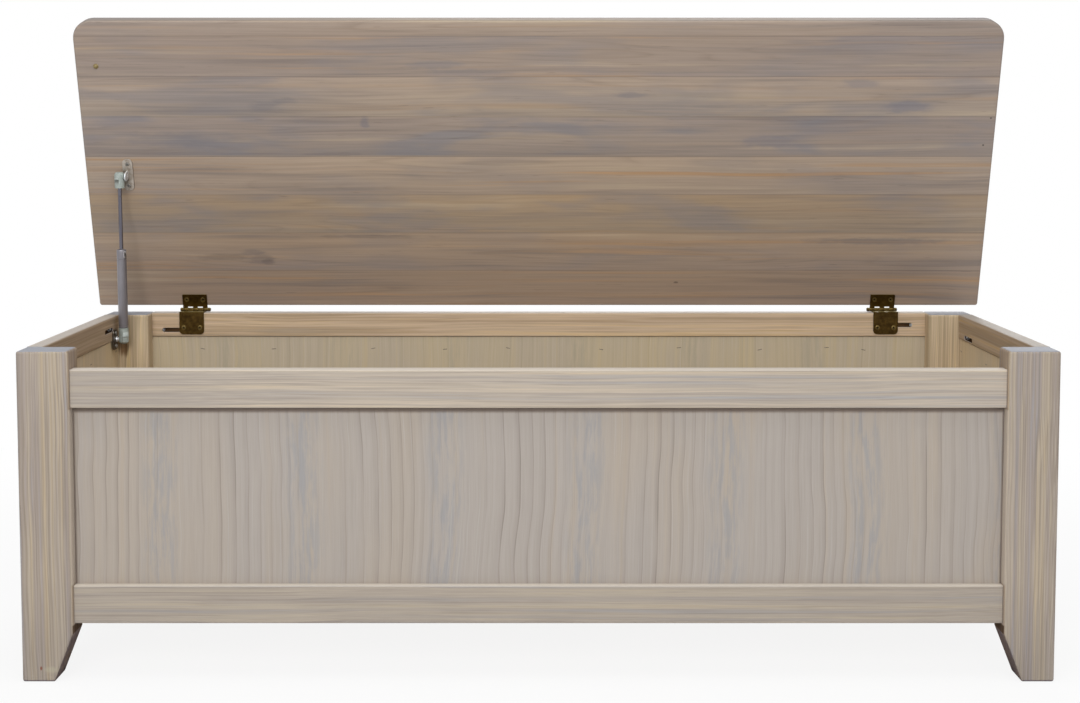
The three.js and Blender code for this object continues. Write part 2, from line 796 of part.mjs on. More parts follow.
function upperSocket() {
  const sleeveTop = upperSocketLow + sleeveLength;
  const shapes = socketShapes(upperSocketLow, sleeveTop, strutLength, upperEyeRadius);
  const bore = new THREE.Vector3(0, 0, upperSocketLow + stubLength);
  const open = new THREE.Vector3(0, 0, upperSocketLow - cutOverrun);
  const cutter = bar(open, bore, strutRodRadius + metalGap, barrelSides);
  return piece('strut_upper_socket', carve(shapes, [cutter]), paleNylon);
}

function strutCylinder() {
  const stubLow = socketReach - stubLength + metalGap;
  const geometry = turned([
    [0, stubLow],
    [strutRodRadius, stubLow],
    [strutRodRadius, cylinderLow],
    [cylinderRadius, cylinderLow],
    [cylinderRadius, cylinderHigh],
    [cylinderBore, cylinderHigh],
    [cylinderBore, cylinderLow + cylinderBase],
    [0, cylinderLow + cylinderBase],
  ], tubeSides);
  return piece('strut_cylinder', geometry, greyPaint);
}

function strutCollar() {
  const base = cylinderHigh + metalGap;
  const bore = strutRodRadius + metalGap;
  const spigot = cylinderBore - metalGap;
  const geometry = turned([
    [bore, base - collarSpigot],
    [spigot, base - collarSpigot],
    [spigot, base],
    [cylinderRadius, base],
    [cylinderRadius, collarHigh - collarChamfer],
    [cylinderRadius - collarChamfer, collarHigh],
    [bore, collarHigh],
    [bore, base - collarSpigot],
  ], tubeSides);
  return piece('strut_collar', geometry, greyPaint);
}

function strutPiston() {
  const bore = pistonTenonRadius + metalGap;
  const edge = cylinderBore - metalGap;
  const top = rodLow + pistonLength;
  const geometry = turned([
    [bore, rodLow],
    [edge, rodLow],
    [edge, top - metalGap],
    [bore, top - metalGap],
    [bore, rodLow],
  ], tubeSides);
  return piece('strut_piston', geometry, zinc);
}

function strutRod() {
  const top = upperSocketLow + stubLength - metalGap;
  const geometry = turned([
    [0, rodLow],
    [pistonTenonRadius, rodLow],
    [pistonTenonRadius, rodLow + pistonLength],
    [strutRodRadius, rodLow + pistonLength],
    [strutRodRadius, top],
    [0, top],
  ], barrelSides);
  return piece('strut_rod', geometry, zinc);
}

// The side bracket stands on the left rail, with a stud that enters the lower socket
function sideBracketScrewPlaces() {
  const face = -sideRailInner + seatGap + bracketThickness + seatGap;
  const out = new THREE.Vector3(1, 0, 0);
  return [1, -1].map((way) => {
    const height = sidePivot.y + way * sideScrewSpacing / 2;
    return placing(new THREE.Vector3(face, sidePivot.x - sidePlateShift, height), out);
  });
}

function sideBracketHoles() {
  return sideBracketScrewPlaces().map(
    (place) => shankHole(bracketShankRadius, bracketScrewLength).applyMatrix4(place));
}

function sideBracket() {
  const base = -sideRailInner + seatGap;
  const face = base + bracketThickness;
  const half = sidePlateWidth / 2;
  const middle = sidePivot.x - sidePlateShift;
  const shape = rectangle(
    middle - half, middle + half,
    sidePivot.y - sidePlateHeight / 2, sidePivot.y + sidePlateHeight / 2, sidePlateRound);
  const start = new THREE.Vector3(base, sidePivot.x, sidePivot.y);
  const collar = new THREE.Vector3(face + sideStudCollar, sidePivot.x, sidePivot.y);
  const stop = new THREE.Vector3(strutX - socketRadius + sideStudReach, sidePivot.x, sidePivot.y);
  const shapes = [
    alongX(shape, base, bracketThickness),
    bar(start, collar, sideStudRadius, screwSides),
    bar(start, stop, studRadius, screwSides),
  ];
  return piece('strut_side_bracket', carve(shapes, sideBracketHoles()), zinc);
}

// The lid bracket is an angle on the underside of the lid. Its stud ends just short of the upper
// socket's side, because the lid's turn and the strut's are geared to each other in a straight line.
const lidPlateBase = lidUnderside - seatGap;
const lidTabLeft = strutX + socketRadius + metalGap + lidStudReach;
const lidPlateLeft = lidTabLeft - lidPlateOverlap;

function lidBracketScrewPlaces() {
  const out = new THREE.Vector3(0, 0, -1);
  const height = lidPlateBase - bracketThickness - seatGap;
  const across = lidPlateLeft + lidPlateWidth / 2;
  return [1, -1].map((way) => {
    const along = lidPivot.x - way * lidScrewSpacing / 2;
    return placing(new THREE.Vector3(across, along, height), out);
  });
}

function lidBracket() {
  const half = lidPlateLength / 2;
  const plate = rectangle(
    lidPlateLeft, lidPlateLeft + lidPlateWidth, lidPivot.x - half, lidPivot.x + half, lidPlateRound);
  const tabHalf = lidTabWidth / 2;
  const tab = roundedOutline([
    [lidPivot.x - tabHalf, lidPivot.y - tabHalf, lidTabRound],
    [lidPivot.x + tabHalf, lidPivot.y - tabHalf, lidTabRound],
    [lidPivot.x + tabHalf, lidPlateBase],
    [lidPivot.x - tabHalf, lidPlateBase],
  ]);
  const stop = new THREE.Vector3(lidTabLeft - lidStudReach, lidPivot.x, lidPivot.y);
  const root = new THREE.Vector3(lidTabLeft + bracketThickness, lidPivot.x, lidPivot.y);
  const shapes = [
    slab(plate, bracketThickness).translate(0, 0, lidPlateBase - bracketThickness),
    alongX(tab, lidTabLeft, bracketThickness),
    bar(stop, root, studRadius, screwSides),
  ];
  const cutters = lidBracketScrewPlaces().map(
    (place) => shankHole(bracketShankRadius, bracketScrewLength).applyMatrix4(place));
  return piece('strut_lid_bracket', carve(shapes, cutters), zinc);
}

function bracketScrews(on, places) {
  return places.map((place, i) => {
    const geometry = panScrew(
      bracketHeadRadius, bracketHeadHeight, bracketShankRadius, bracketScrewLength, hingeScrewTip);
    return placed(piece(`strut_${on}_screw_${i === 0 ? 'upper' : 'lower'}`, geometry, zinc), place);
  });
}

// The bumper keeps the closed lid off the left side rail
function bumper() {
  const height = pinZ + lidUnderside - rimHeight - seatGap - metalGap;
  const geometry = turned([
    [0, 0],
    [bumperRadius - bumperArris, 0],
    [bumperRadius, bumperArris],
    [bumperRadius, height],
    [0, height],
  ], screwSides);
  const across = bumperSideInset - halfWidth;
  const along = bumperFrontInset - lidEdgeInset - lidDepth;
  return piece('lid_bumper', geometry.translate(across, along, lidUnderside - seatGap - height), amberRubber);
}

const carcass = new THREE.Group();
for (const end of ['front', 'back']) {
  for (const side of ['left', 'right']) carcass.add(post(end, side));
}
for (const side of ['front', 'back', 'left', 'right']) {
  carcass.add(rail(side, 'top'), rail(side, 'bottom'), panel(side));
}
carcass.add(floorPanel(), ...cleats());
for (const hole of holes) {
  if (hole.level === 'top') carcass.add(pocketScrew(hole));
}
carcass.add(sideBracket(), ...bracketScrews('side', sideBracketScrewPlaces()));

const lidGroup = new THREE.Group();
lidGroup.position.set(0, pinY, pinZ);
lidGroup.rotation.x = -openAngle;
lidGroup.add(lid(), lidBracket(), ...bracketScrews('lid', lidBracketScrewPlaces()), bumper());

for (const side of ['left', 'right']) {
  const sign = side === 'left' ? -1 : 1;
  carcass.add(railLeaf(side), hingePin(side), ...hingeScrews(side, 'rail', railScrewPlaces(sign)));
  lidGroup.add(lidLeaf(side), ...hingeScrews(side, 'lid', lidScrewPlaces(sign)));
}

const strut = new THREE.Group();
strut.position.set(strutX, sidePivot.x, sidePivot.y);
strut.rotation.x = strutLean;
strut.add(lowerSocket(), strutCylinder(), strutCollar(), strutPiston(), strutRod(), upperSocket());

const chest = new THREE.Group();
chest.add(carcass, lidGroup, strut);

// The origin stands on the floor under the middle of the whole chest
chest.updateMatrixWorld(true);
const reach = new THREE.Box3().setFromObject(chest, true);
chest.position.y = -(reach.min.y + reach.max.y) / 2;

export default chest;
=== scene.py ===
"""Looks of the lift-lid blanket chest: grey-washed pine and ply, bronze hinges and one gas strut."""

import json
import math

import bmesh
import bpy
from mathutils import Matrix, Vector


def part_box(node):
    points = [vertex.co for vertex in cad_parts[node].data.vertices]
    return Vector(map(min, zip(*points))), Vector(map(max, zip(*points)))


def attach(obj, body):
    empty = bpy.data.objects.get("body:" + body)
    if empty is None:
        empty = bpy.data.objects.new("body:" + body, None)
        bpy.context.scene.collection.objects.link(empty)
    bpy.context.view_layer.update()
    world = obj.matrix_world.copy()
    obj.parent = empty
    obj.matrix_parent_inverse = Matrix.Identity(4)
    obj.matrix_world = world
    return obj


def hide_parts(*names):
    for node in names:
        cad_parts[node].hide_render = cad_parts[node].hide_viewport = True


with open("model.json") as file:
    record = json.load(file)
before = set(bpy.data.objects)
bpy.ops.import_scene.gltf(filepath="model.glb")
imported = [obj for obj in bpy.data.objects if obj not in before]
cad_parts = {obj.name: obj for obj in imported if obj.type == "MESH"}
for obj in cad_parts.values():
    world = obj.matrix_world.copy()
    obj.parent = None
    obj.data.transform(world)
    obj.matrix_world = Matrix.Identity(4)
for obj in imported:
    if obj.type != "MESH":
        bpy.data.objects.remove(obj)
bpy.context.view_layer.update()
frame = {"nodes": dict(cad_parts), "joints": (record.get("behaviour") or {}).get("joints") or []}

# Places in metres that the finishes and the new pieces share
JOINTS = {joint["name"]: joint for joint in frame["joints"]}
LID_PIN = Vector(JOINTS["lid_hinge"]["pos_m"])
LID_OPEN = math.radians(JOINTS["lid_hinge"]["range_deg"][1])
LID_REAR = 0.0066
STRUT_FOOT = Vector(JOINTS["strut_pivot"]["pos_m"])


def tone(code):
    """A colour written as red, green and blue in hexadecimal, as the shader wants it."""
    parts = [int(code[i : i + 2], 16) / 255 for i in (1, 3, 5)]
    return tuple(p / 12.92 if p <= 0.04045 else ((p + 0.055) / 1.055) ** 2.4 for p in parts) + (1.0,)


def wash(**codes):
    """The tones of one kind of wood, by name."""
    return {key: tone(code) for key, code in codes.items()}


# Camera


def set_camera():
    """The photo's camera as fitted to the corners of the chest, with half of its upward shift."""
    data = bpy.data.cameras.new("studio_camera")
    data.sensor_width = 36
    data.lens = 50.029
    data.shift_y = -0.11
    camera = bpy.data.objects.new("studio_camera", data)
    camera.location = (0.0022, -2.2329, 0.7390)
    camera.rotation_euler = (math.radians(90 - 3.6762), 0, 0)
    bpy.context.collection.objects.link(camera)
    bpy.context.scene.camera = camera


# Node graphs


class Pattern:
    """The graph of one finish, with a short call for each kind of sum that a pattern needs."""

    def __init__(self, name, kind=bpy.data.materials):
        self.owner = kind.new(name)
        self.owner.use_nodes = True
        self.tree = self.owner.node_tree
        self.shader = self.tree.nodes.get("Principled BSDF")
        texture = self.add("TexCoord").outputs
        self.place, self.normal = texture["Object"], texture["Normal"]

    def put(self, socket, value):
        if isinstance(value, bpy.types.NodeSocket):
            self.tree.links.new(value, socket)
        else:
            socket.default_value = value

    def add(self, kind, values=(), **settings):
        made = self.tree.nodes.new("ShaderNode" + kind)
        for key, value in settings.items():
            setattr(made, key, value)
        for key, value in values.items() if isinstance(values, dict) else enumerate(values):
            self.put(made.inputs[key], value)
        return made

    def math(self, operation, *values):
        return self.add("Math", values, operation=operation).outputs[0]

    def plus(self, *values):
        return self.math("ADD", *values)

    def less(self, *values):
        return self.math("SUBTRACT", *values)

    def times(self, *values):
        return self.math("MULTIPLY", *values)

    def vector(self, x, y, z):
        return self.add("CombineXYZ", (x, y, z)).outputs[0]

    def split(self, vector):
        return self.add("SeparateXYZ", (vector,)).outputs

    def dot(self, first, second):
        return self.add("VectorMath", (first, second), operation="DOT_PRODUCT").outputs["Value"]

    def noise(self, place, scale, detail=2.0, rough=0.5, twist=0.0, shift=(0, 0, 0)):
        """Noise from 0 to 1 at a place that is first scaled along each axis and then shifted."""
        place = self.add("VectorMath", (place, scale), operation="MULTIPLY").outputs[0]
        place = self.add("VectorMath", (place, shift), operation="ADD").outputs[0]
        values = {"Vector": place, "Scale": 1.0, "Detail": detail, "Roughness": rough, "Distortion": twist}
        return self.add("TexNoise", values).outputs["Fac"]

    def between(self, value, low, high, start=0.0, end=1.0):
        """A smooth step of the value from start at low to end at high."""
        made = self.add("MapRange", (value, low, high, start, end), interpolation_type="SMOOTHSTEP")
        return made.outputs[0]

    def blend(self, share, first, second, how="MIX"):
        made = self.add("Mix", data_type="RGBA", blend_type=how)
        self.put(made.inputs[0], share)
        self.put(made.inputs[6], first)
        self.put(made.inputs[7], second)
        return made.outputs[2]

    def tint(self, share, colour, by):
        return self.blend(share, colour, by, "MULTIPLY")

    def ramp(self, value, stops, how="LINEAR"):
        made = self.add("ValToRGB", (value,))
        band = made.color_ramp
        band.interpolation = how
        while len(band.elements) < len(stops):
            band.elements.new(0.5)
        for element, (place, colour) in zip(band.elements, stops):
            element.position = place
            element.color = colour if isinstance(colour, tuple) else (colour, colour, colour, 1.0)
        return made.outputs[0]

    def worn(self, radius, low=0.02, high=0.25):
        """A mask that is 1 along sharp edges, where handling wears a finish."""
        soft = self.add("Bevel", (radius,), samples=4).outputs[0]
        turned = self.dot(soft, self.add("NewGeometry").outputs["True Normal"])
        return self.between(self.less(1.0, turned), low, high)

    def finish(self, colour, rough, height=None, depth=0.0002, radius=None, **sockets):
        self.put(self.shader.inputs["Base Color"], colour)
        self.put(self.shader.inputs["Roughness"], rough)
        if height is not None:
            bump = self.add("Bump", {"Height": height, "Distance": depth, "Strength": 1.0})
            if radius:
                soft = self.add("Bevel", (radius,), samples=4).outputs[0]
                self.put(bump.inputs["Normal"], soft)
            self.put(self.shader.inputs["Normal"], bump.outputs[0])
        for key, value in sockets.items():
            self.put(self.shader.inputs[key.replace("_", " ")], value)
        return self.owner


# Pine

POST_TONES = wash(
    cool="#a6a09e", dim="#ac9f95", early="#b4a799", pale="#baac99", warm="#c0ac8f", late="#86786b"
)
RAIL_TONES = wash(
    cool="#adaaa8", dim="#b8ada1", early="#c2b5a5", pale="#cabba7", warm="#d2bd9c", late="#998e86"
)
LOW_RAIL_TONES = wash(
    cool="#a59f9a", dim="#aaa095", early="#b0a497", pale="#b5a999", warm="#bcab93", late="#90857c"
)
INNER_TONES = wash(
    cool="#b9a68e", dim="#c2a988", early="#cfb69b", pale="#d9c0a0", warm="#e0c08c", late="#a4896a"
)
POST_INNER_TONES = wash(
    cool="#b6a998", dim="#c4b08e", early="#d3bea0", pale="#ddc8a6", warm="#e2c994", late="#a08b6e"
)
RAW_TONES = wash(
    cool="#ad9c80", dim="#b89b70", early="#c6aa80", pale="#cfb387", warm="#d2ad72", late="#9c7849"
)
# Paler tone of worn edges, also used for a painted highlight and painted light
EDGE_WEAR_AND_PAINTED_LIGHT = tone("#d8cec1")
END_GRAIN = tone("#999da7")
# Painted light and shade on faces turned up: paler tops and ledges, and a darker top for the right rail
TOP_FACE_PAINTED_LIGHT = tone("#c6beb6")
RIGHT_TOP_PAINTED_SHADE = tone("#aaa39b")
LEDGE_PAINTED_LIGHT = tone("#dcd3c7")
# Painted shade that dims the inner faces of the side rails
SIDE_RAIL_PAINTED_SHADE = (0.80, 0.81, 0.84, 1.0)
# Painted shade on the front posts' inner sides below the bottom rail
FOOT_SIDE_PAINTED_SHADE = (0.36, 0.31, 0.28, 1.0)
# Painted shade on faces turned down, as the taper cut
TAPER_PAINTED_SHADE = (0.62, 0.62, 0.74, 1.0)
# Painted shade for the walls of pocket holes
POCKET_PAINTED_SHADE = tone("#41280f")
CLOUD_SHADE = (0.90, 0.90, 0.91, 1.0)
FLOOR_END_DARKENING = (0.86, 0.87, 0.90, 1.0)
# Painted shade on the front posts' inner sides, also warmer
INNER_SIDE_PAINTED_SHADE = (0.95, 0.88, 0.81, 1.0)
TOP_LIGHT_SHARE = 0.75
WOOD_GLOSS = 0.35
PORE_DEPTH = 0.00022
ARRIS = 0.002
POCKET_LIP = 0.004
AXES = {"X": (1, 2, 0), "Y": (0, 2, 1), "Z": (0, 1, 2)}


def stain(p, share, across, along, spot, size, edge):
    """How much of a soft-edged mark shows at a place, from 0 outside it to share in its middle."""
    across = p.math("DIVIDE", p.less(across, spot[0]), size[0])
    along = p.math("DIVIDE", p.less(along, spot[1]), size[1])
    squares = p.plus(p.times(across, across), p.times(along, along))
    reach = p.plus(p.math("SQRT", squares), edge)
    return p.between(reach, 0.35, 1.0, share, 0.0)


def pocket_depth(p, place, bounds, inner):
    """How far inside a rail a place is: 1 on the walls of a pocket hole, and 0 on the rail's own faces."""
    axis, way = inner
    low, high = bounds
    turn = "XYZ".index(axis)
    face = high[turn] if way > 0 else low[turn]
    back = low[turn] if way > 0 else high[turn]
    depth = p.times(p.less(face, place[turn]), way)
    left = p.times(p.less(place[turn], back), way)
    level = p.math("ABSOLUTE", p.less(place[2], (low.z + high.z) / 2))
    deep = p.times(p.between(depth, 0.0003, 0.0022), p.between(left, 0.002, 0.003))
    edge = (high.z - low.z) / 2 - POCKET_LIP
    return p.times(deep, p.between(level, edge, edge - 0.001))


def pine(
    name, grain, pith, seed, tones, ring=0.0105,
    inner=None, inner_tones=INNER_TONES, sideways=None, dusk=None,
    glow=None, marks=(), bounds=None, cut=None, rim=(TOP_FACE_PAINTED_LIGHT, 0.6),
    weight=0.8, wavy=0.0045, steady=0.08, hair=0.26,
):
    """Washed pine: long stripes of wash, and rings about a log's middle that runs along the grain.

    An inner face has tones of its own, dimmed by painted shade where asked. Glow is a warm stripe, marks
    are knots and other spots, bounds let pocket holes be found and darkened with painted shade, and cut
    names
    the heights where a front post changes: its foot darkens towards the floor, its inner side and its
    downward taper get painted shade, darkest below the bottom rail, and its inner side between the rails
    gets painted light. The last four say how strong the rings are, how they wave, how alike their lines
    are and how much shows of the thin ones.
    """
    p = Pattern(name)
    place, normal = p.split(p.place), p.split(p.normal)
    a, b, c = AXES[grain]
    first, second, along = place[a], place[b], place[c]
    board = p.vector(first, second, along)
    sway = p.less(p.noise(board, (5, 5, 1.7), 1.0, shift=(seed, 0, seed)), 0.5)
    wave = p.less(p.noise(board, (26, 26, 7), 1.0, shift=(0, seed, 0)), 0.5)
    shift = p.plus(p.times(sway, 0.020), p.times(wave, wavy))
    moved = p.vector(p.plus(first, shift), p.plus(second, shift), along)
    stripes = p.noise(moved, (105, 105, 0.75), 3.0, 0.68, shift=(seed, seed, 0))
    if glow:
        away = p.math("ABSOLUTE", p.less(first, glow[0]))
        stripes = p.plus(stripes, p.between(away, 0.0, glow[1], glow[2], 0.0))
    across = p.less(first, pith[0])
    above = p.less(second, pith[1])
    reach = p.math("SQRT", p.plus(p.times(across, across), p.times(above, above)))
    reach = p.plus(reach, p.times(shift, 1.6))
    uneven = p.noise(p.vector(reach, seed, 0.0), (42, 1, 1), 1.0)
    years = p.plus(p.math("DIVIDE", reach, ring), p.times(uneven, 1.8))
    stops = ((0.0, 0.5), (0.14, 0.0), (0.5, 0.04), (0.8, 0.6), (0.94, 1.0), (1.0, 0.5))
    band = p.ramp(p.math("FRACT", years), stops)
    year = p.add("TexWhiteNoise", {"W": p.math("FLOOR", years)}, noise_dimensions="1D").outputs["Value"]
    fade = p.between(p.noise(moved, (40, 40, 2.4), shift=(seed, 8, 0)), 0.35, 0.6, 0.25, 1.0)
    line = p.times(p.times(band, p.between(year, 0.0, 1.0, steady, 0.6)), fade)
    stops = ((0.0, 0.4), (0.2, 0.0), (0.6, 0.1), (0.88, 1.0), (1.0, 0.4))
    thin = p.ramp(p.math("FRACT", p.times(years, 2.0)), stops)
    thin = p.times(thin, hair)
    line = p.math("MAXIMUM", line, thin)
    fibre = p.noise(moved, (900, 900, 16), 2.0, 0.6, shift=(0, 0, seed))
    cloud = p.noise(board, (14, 14, 5), shift=(seed, 3, 0))
    streak = p.noise(moved, (330, 330, 2.2), 2.0, 0.6, shift=(2, seed, 0))

    def coloured(set_of):
        stops = ((0.34, "cool"), (0.44, "dim"), (0.51, "early"), (0.59, "pale"), (0.72, "warm"))
        colour = p.ramp(stripes, [(level, set_of[key]) for level, key in stops])
        colour = p.blend(p.between(streak, 0.5, 0.68, 0.0, 0.45), colour, set_of["late"])
        return p.blend(p.times(line, weight), colour, set_of["late"])

    colour = coloured(tones)
    if inner:
        axis, way = inner
        facing = p.times(normal["XYZ".index(axis)], way)
        if sideways:
            facing = p.math("MAXIMUM", facing, p.times(normal[0], sideways))
        inside = coloured(inner_tones)
        # Painted shade dims the inner face where it is asked for
        if dusk:
            inside = p.tint(1.0, inside, dusk)
        colour = p.blend(p.between(facing, 0.4, 0.8), colour, inside)
    colour = p.tint(p.between(cloud, 0.35, 0.65, 0.0, 0.5), colour, CLOUD_SHADE)
    for spot, size, code, share in marks:
        ragged = p.times(p.less(fibre, 0.5), 1.2)
        mark = stain(p, share, first, along, spot, size, ragged)
        colour = p.blend(mark, colour, tone(code))
    shade = p.ramp(fibre, ((0.25, 0.84), (0.5, 0.94), (0.75, 1.0)))
    colour = p.tint(1.0, colour, shade)
    end = p.between(p.math("ABSOLUTE", normal[c]), 0.75, 0.95)
    colour = p.blend(p.times(end, 0.9), colour, END_GRAIN)
    # Painted light: faces turned up are paler, as if lit from above
    if c != 2:
        colour = p.blend(p.between(normal[2], 0.3, 0.9, 0.0, rim[1]), colour, rim[0])
    # Edges paler: partly wear, partly a painted highlight
    colour = p.blend(p.times(p.worn(0.0022), 0.4), colour, EDGE_WEAR_AND_PAINTED_LIGHT)
    gloss = WOOD_GLOSS
    if cut:
        way, foot, lowest, highest = cut
        # Darker towards the floor
        colour = p.tint(p.between(along, 0.01, 0.16, 1.0, 0.0), colour, FLOOR_END_DARKENING)
        slope = p.between(p.times(normal[0], way), 0.3, 0.8)
        # Painted shade: the post's inner side is darker and warmer
        colour = p.tint(slope, colour, INNER_SIDE_PAINTED_SHADE)
        # Painted light: the inner side between the rails is paler
        beside = p.times(slope, p.between(along, highest - 0.004, highest, 0.45, 0.0))
        beside = p.times(beside, p.between(along, lowest, lowest + 0.004))
        colour = p.blend(beside, colour, EDGE_WEAR_AND_PAINTED_LIGHT)
        upright = p.between(normal[2], -0.35, -0.1)
        # Painted shade: the inner side below the bottom rail is much darker
        below = p.times(slope, p.between(along, foot - 0.003, foot, 1.0, 0.0))
        below = p.times(below, upright)
        colour = p.tint(below, colour, FOOT_SIDE_PAINTED_SHADE)
        # Painted shade: faces turned down, as the taper cut, are darker and bluer
        under = p.less(1.0, upright)
        colour = p.tint(under, colour, TAPER_PAINTED_SHADE)
        gloss = p.between(p.math("MAXIMUM", under, below), 0.0, 1.0, gloss, 0.0)
    if bounds and inner:
        # Painted shade: the walls of pocket holes are darkened
        pocket = pocket_depth(p, place, bounds, inner)
        colour = p.blend(p.times(pocket, 0.9), colour, POCKET_PAINTED_SHADE)
        gloss = p.between(pocket, 0.0, 0.6, gloss, 0.0)
    height = p.plus(p.times(fibre, 0.5), p.times(line, 0.5))
    rough = p.between(fibre, 0.2, 0.8, 0.5, 0.68)
    return p.finish(colour, rough, height, PORE_DEPTH, ARRIS, Specular_IOR_Level=gloss)


# Ply panels

PLY_TONES = wash(
    early="#afa69e", late="#a39a91", dark="#7f746c", grey="#96979a", warm="#b3a492", pale="#b8b2ac"
)
INNER_PLY_TONES = wash(
    early="#c1b49f", late="#b3a48b", dark="#978770", grey="#b1a793", warm="#cbb88f", pale="#cac1ae"
)

# The veneer was peeled off a turning log, so its figure repeats: the length of one repeat, where the
# first begins, and the dark lines in it, each by its share of the repeat and its strength

VENEER_REPEAT = 0.192
VENEER_PHASE = 0.0635
VENEER_LINES = (
    (0.35, 0.6), (0.46, 1.0), (0.56, 0.9), (0.65, 0.8), (0.73, 0.7), (0.80, 0.65), (0.87, 0.6),
    (0.93, 0.5), (1.0, 0.35),
)
# Painted shadow under the top rail, also the tone of the dark joint lines beside the posts
PAINTED_SHADOW_AND_JOINT_TONE = tone("#6a5b50")
PLY_PORE_DEPTH = 0.00015
# Painted light on the inner faces of the side panels
SIDE_PANEL_PAINTED_LIGHT = (1.27, 1.23, 1.17, 1.0)


def veneer(name, across, seed, inner_axis, way, opening):
    """Rotary-cut ply whose grain stands upright, with lines that sway together and a patch that repeats."""
    p = Pattern(name)
    place, normal = p.split(p.place), p.split(p.normal)
    side, up = place["XYZ".index(across)], place[2]
    sheet = p.vector(side, seed, up)
    sway = p.less(p.noise(sheet, (1.8, 1, 4.6), 1.0), 0.5)
    bend = p.less(p.noise(sheet, (6, 1, 9), 1.0, shift=(seed, 0, 0)), 0.5)
    moved = p.plus(side, p.times(sway, 0.028))
    moved = p.plus(moved, p.times(bend, 0.012))
    line_place = p.vector(moved, seed, 0.0)
    uneven = p.noise(line_place, (11, 1, 1), 2.0, 0.6)
    repeats = p.math("DIVIDE", p.less(moved, VENEER_PHASE), VENEER_REPEAT)
    within = p.math("FRACT", repeats)
    lines = len(VENEER_LINES)
    stops = [(0.0, 0.0), (0.25, 0.4 / lines)]
    stops += [(spot, (count + 1) / lines) for count, (spot, _) in enumerate(VENEER_LINES)]
    strips = p.plus(p.math("FLOOR", repeats), p.ramp(within, stops))
    strips = p.times(strips, lines)
    strips = p.plus(strips, p.times(uneven, 0.6))
    part = p.math("FRACT", strips)
    strong = p.ramp(within, [(0.0, 0.1), (0.25, 0.1)] + list(VENEER_LINES))
    stops = ((0.0, 0.0), (0.55, 0.0), (0.90, 0.35), (0.955, 1.0), (0.985, 0.15), (1.0, 0.0))
    band = p.ramp(part, stops)
    each = p.add("TexWhiteNoise", {"W": p.math("FLOOR", strips)}, noise_dimensions="1D").outputs["Value"]
    fade = p.between(p.noise(sheet, (24, 1, 5), shift=(4, 0, seed)), 0.35, 0.6, 0.45, 1.0)
    strong = p.times(strong, p.between(each, 0.0, 1.0, 0.65, 1.0))
    line = p.times(p.times(band, strong), fade)
    fine = p.noise(p.vector(moved, seed, up), (190, 1, 2.2), 3.0, 0.65)
    fibre = p.noise(sheet, (900, 1, 14), 2.0, 0.6)
    turn = p.math("FRACT", p.plus(repeats, 0.5))
    patch = p.between(p.math("ABSOLUTE", p.less(turn, 0.5)), 0.03, 0.19, 1.0, 0.0)
    cloud = p.noise(p.vector(moved, seed, up), (120, 1, 12), 4.0, 0.7, shift=(0, 0, seed))
    patch = p.times(patch, p.between(cloud, 0.43, 0.6))
    broad = p.noise(sheet, (9, 1, 2.2), shift=(5, 0, 0))
    golden = p.noise(p.vector(moved, seed, up), (75, 1, 1.0), shift=(9, 0, 0))
    hair = p.noise(p.vector(moved, seed, up), (420, 1, 3.5), shift=(2, 0, 0))

    def coloured(set_of, line):
        colour = p.blend(p.between(fine, 0.35, 0.7, 0.0, 0.4), set_of["early"], set_of["late"])
        colour = p.blend(p.between(broad, 0.42, 0.62, 0.0, 0.35), colour, set_of["warm"])
        colour = p.blend(p.between(golden, 0.54, 0.7, 0.0, 0.4), colour, set_of["warm"])
        colour = p.blend(p.times(patch, 0.62), colour, set_of["grey"])
        colour = p.blend(p.between(hair, 0.60, 0.74, 0.0, 0.6), colour, set_of["pale"])
        return p.blend(line, colour, set_of["dark"])

    facing = p.times(normal["XYZ".index(inner_axis)], way)
    inside = coloured(INNER_PLY_TONES, p.times(line, 0.5))
    # Painted light: the inner faces of the side panels are brighter and warmer
    if inner_axis == "X":
        inside = p.tint(1.0, inside, SIDE_PANEL_PAINTED_LIGHT)
    colour = p.blend(p.between(facing, 0.4, 0.8), coloured(PLY_TONES, line), inside)
    shade = p.ramp(fibre, ((0.25, 0.88), (0.5, 0.95), (0.75, 0.99)))
    colour = p.tint(1.0, colour, shade)
    middle, half, top = opening
    ragged = p.times(p.less(fine, 0.5), 0.0012)
    # Painted shadow of the top rail on the panel's outer face, and a dark joint line beside each post
    shadow_and_joint = p.between(p.plus(up, ragged), top - 0.0098, top - 0.0052, 0.0, 0.85)
    beside = p.math("ABSOLUTE", p.less(side, middle))
    corner = p.between(p.plus(beside, ragged), half - 0.0030, half - 0.0010, 0.0, 0.75)
    shadow_and_joint = p.times(p.math("MAXIMUM", shadow_and_joint, corner), p.between(facing, -0.8, -0.4, 1.0, 0.0))
    colour = p.blend(shadow_and_joint, colour, PAINTED_SHADOW_AND_JOINT_TONE)
    height = p.plus(p.times(fibre, 0.4), p.times(line, -0.6))
    rough = p.between(fibre, 0.2, 0.8, 0.5, 0.64)
    return p.finish(colour, rough, height, PLY_PORE_DEPTH, Specular_IOR_Level=WOOD_GLOSS)


# Lid of glued staves: how far each stave reaches from the hinge edge, its tones at its two edges,
# and how much blue-grey and how much orange the wash left in it

STAVES = (
    (0.0620, "#9c8878", "#9d8977", 0.15, 0.9),
    (0.1260, "#9b8a7d", "#a8927c", 0.35, 0.8),
    (0.1905, "#998978", "#a99278", 0.65, 0.4),
    (0.2545, "#a08f80", "#ad9a88", 0.35, 0.9),
    (0.3190, "#93867d", "#9d8e84", 0.95, 0.1),
    (0.3835, "#a19284", "#ab998a", 0.60, 0.3),
    (0.4475, "#9b8c82", "#9e8d80", 0.55, 0.7),
    (0.4720, "#9e8d80", "#a69689", 0.20, 0.3),
)
LID_LENGTH = 0.472
SEAM = 0.0008
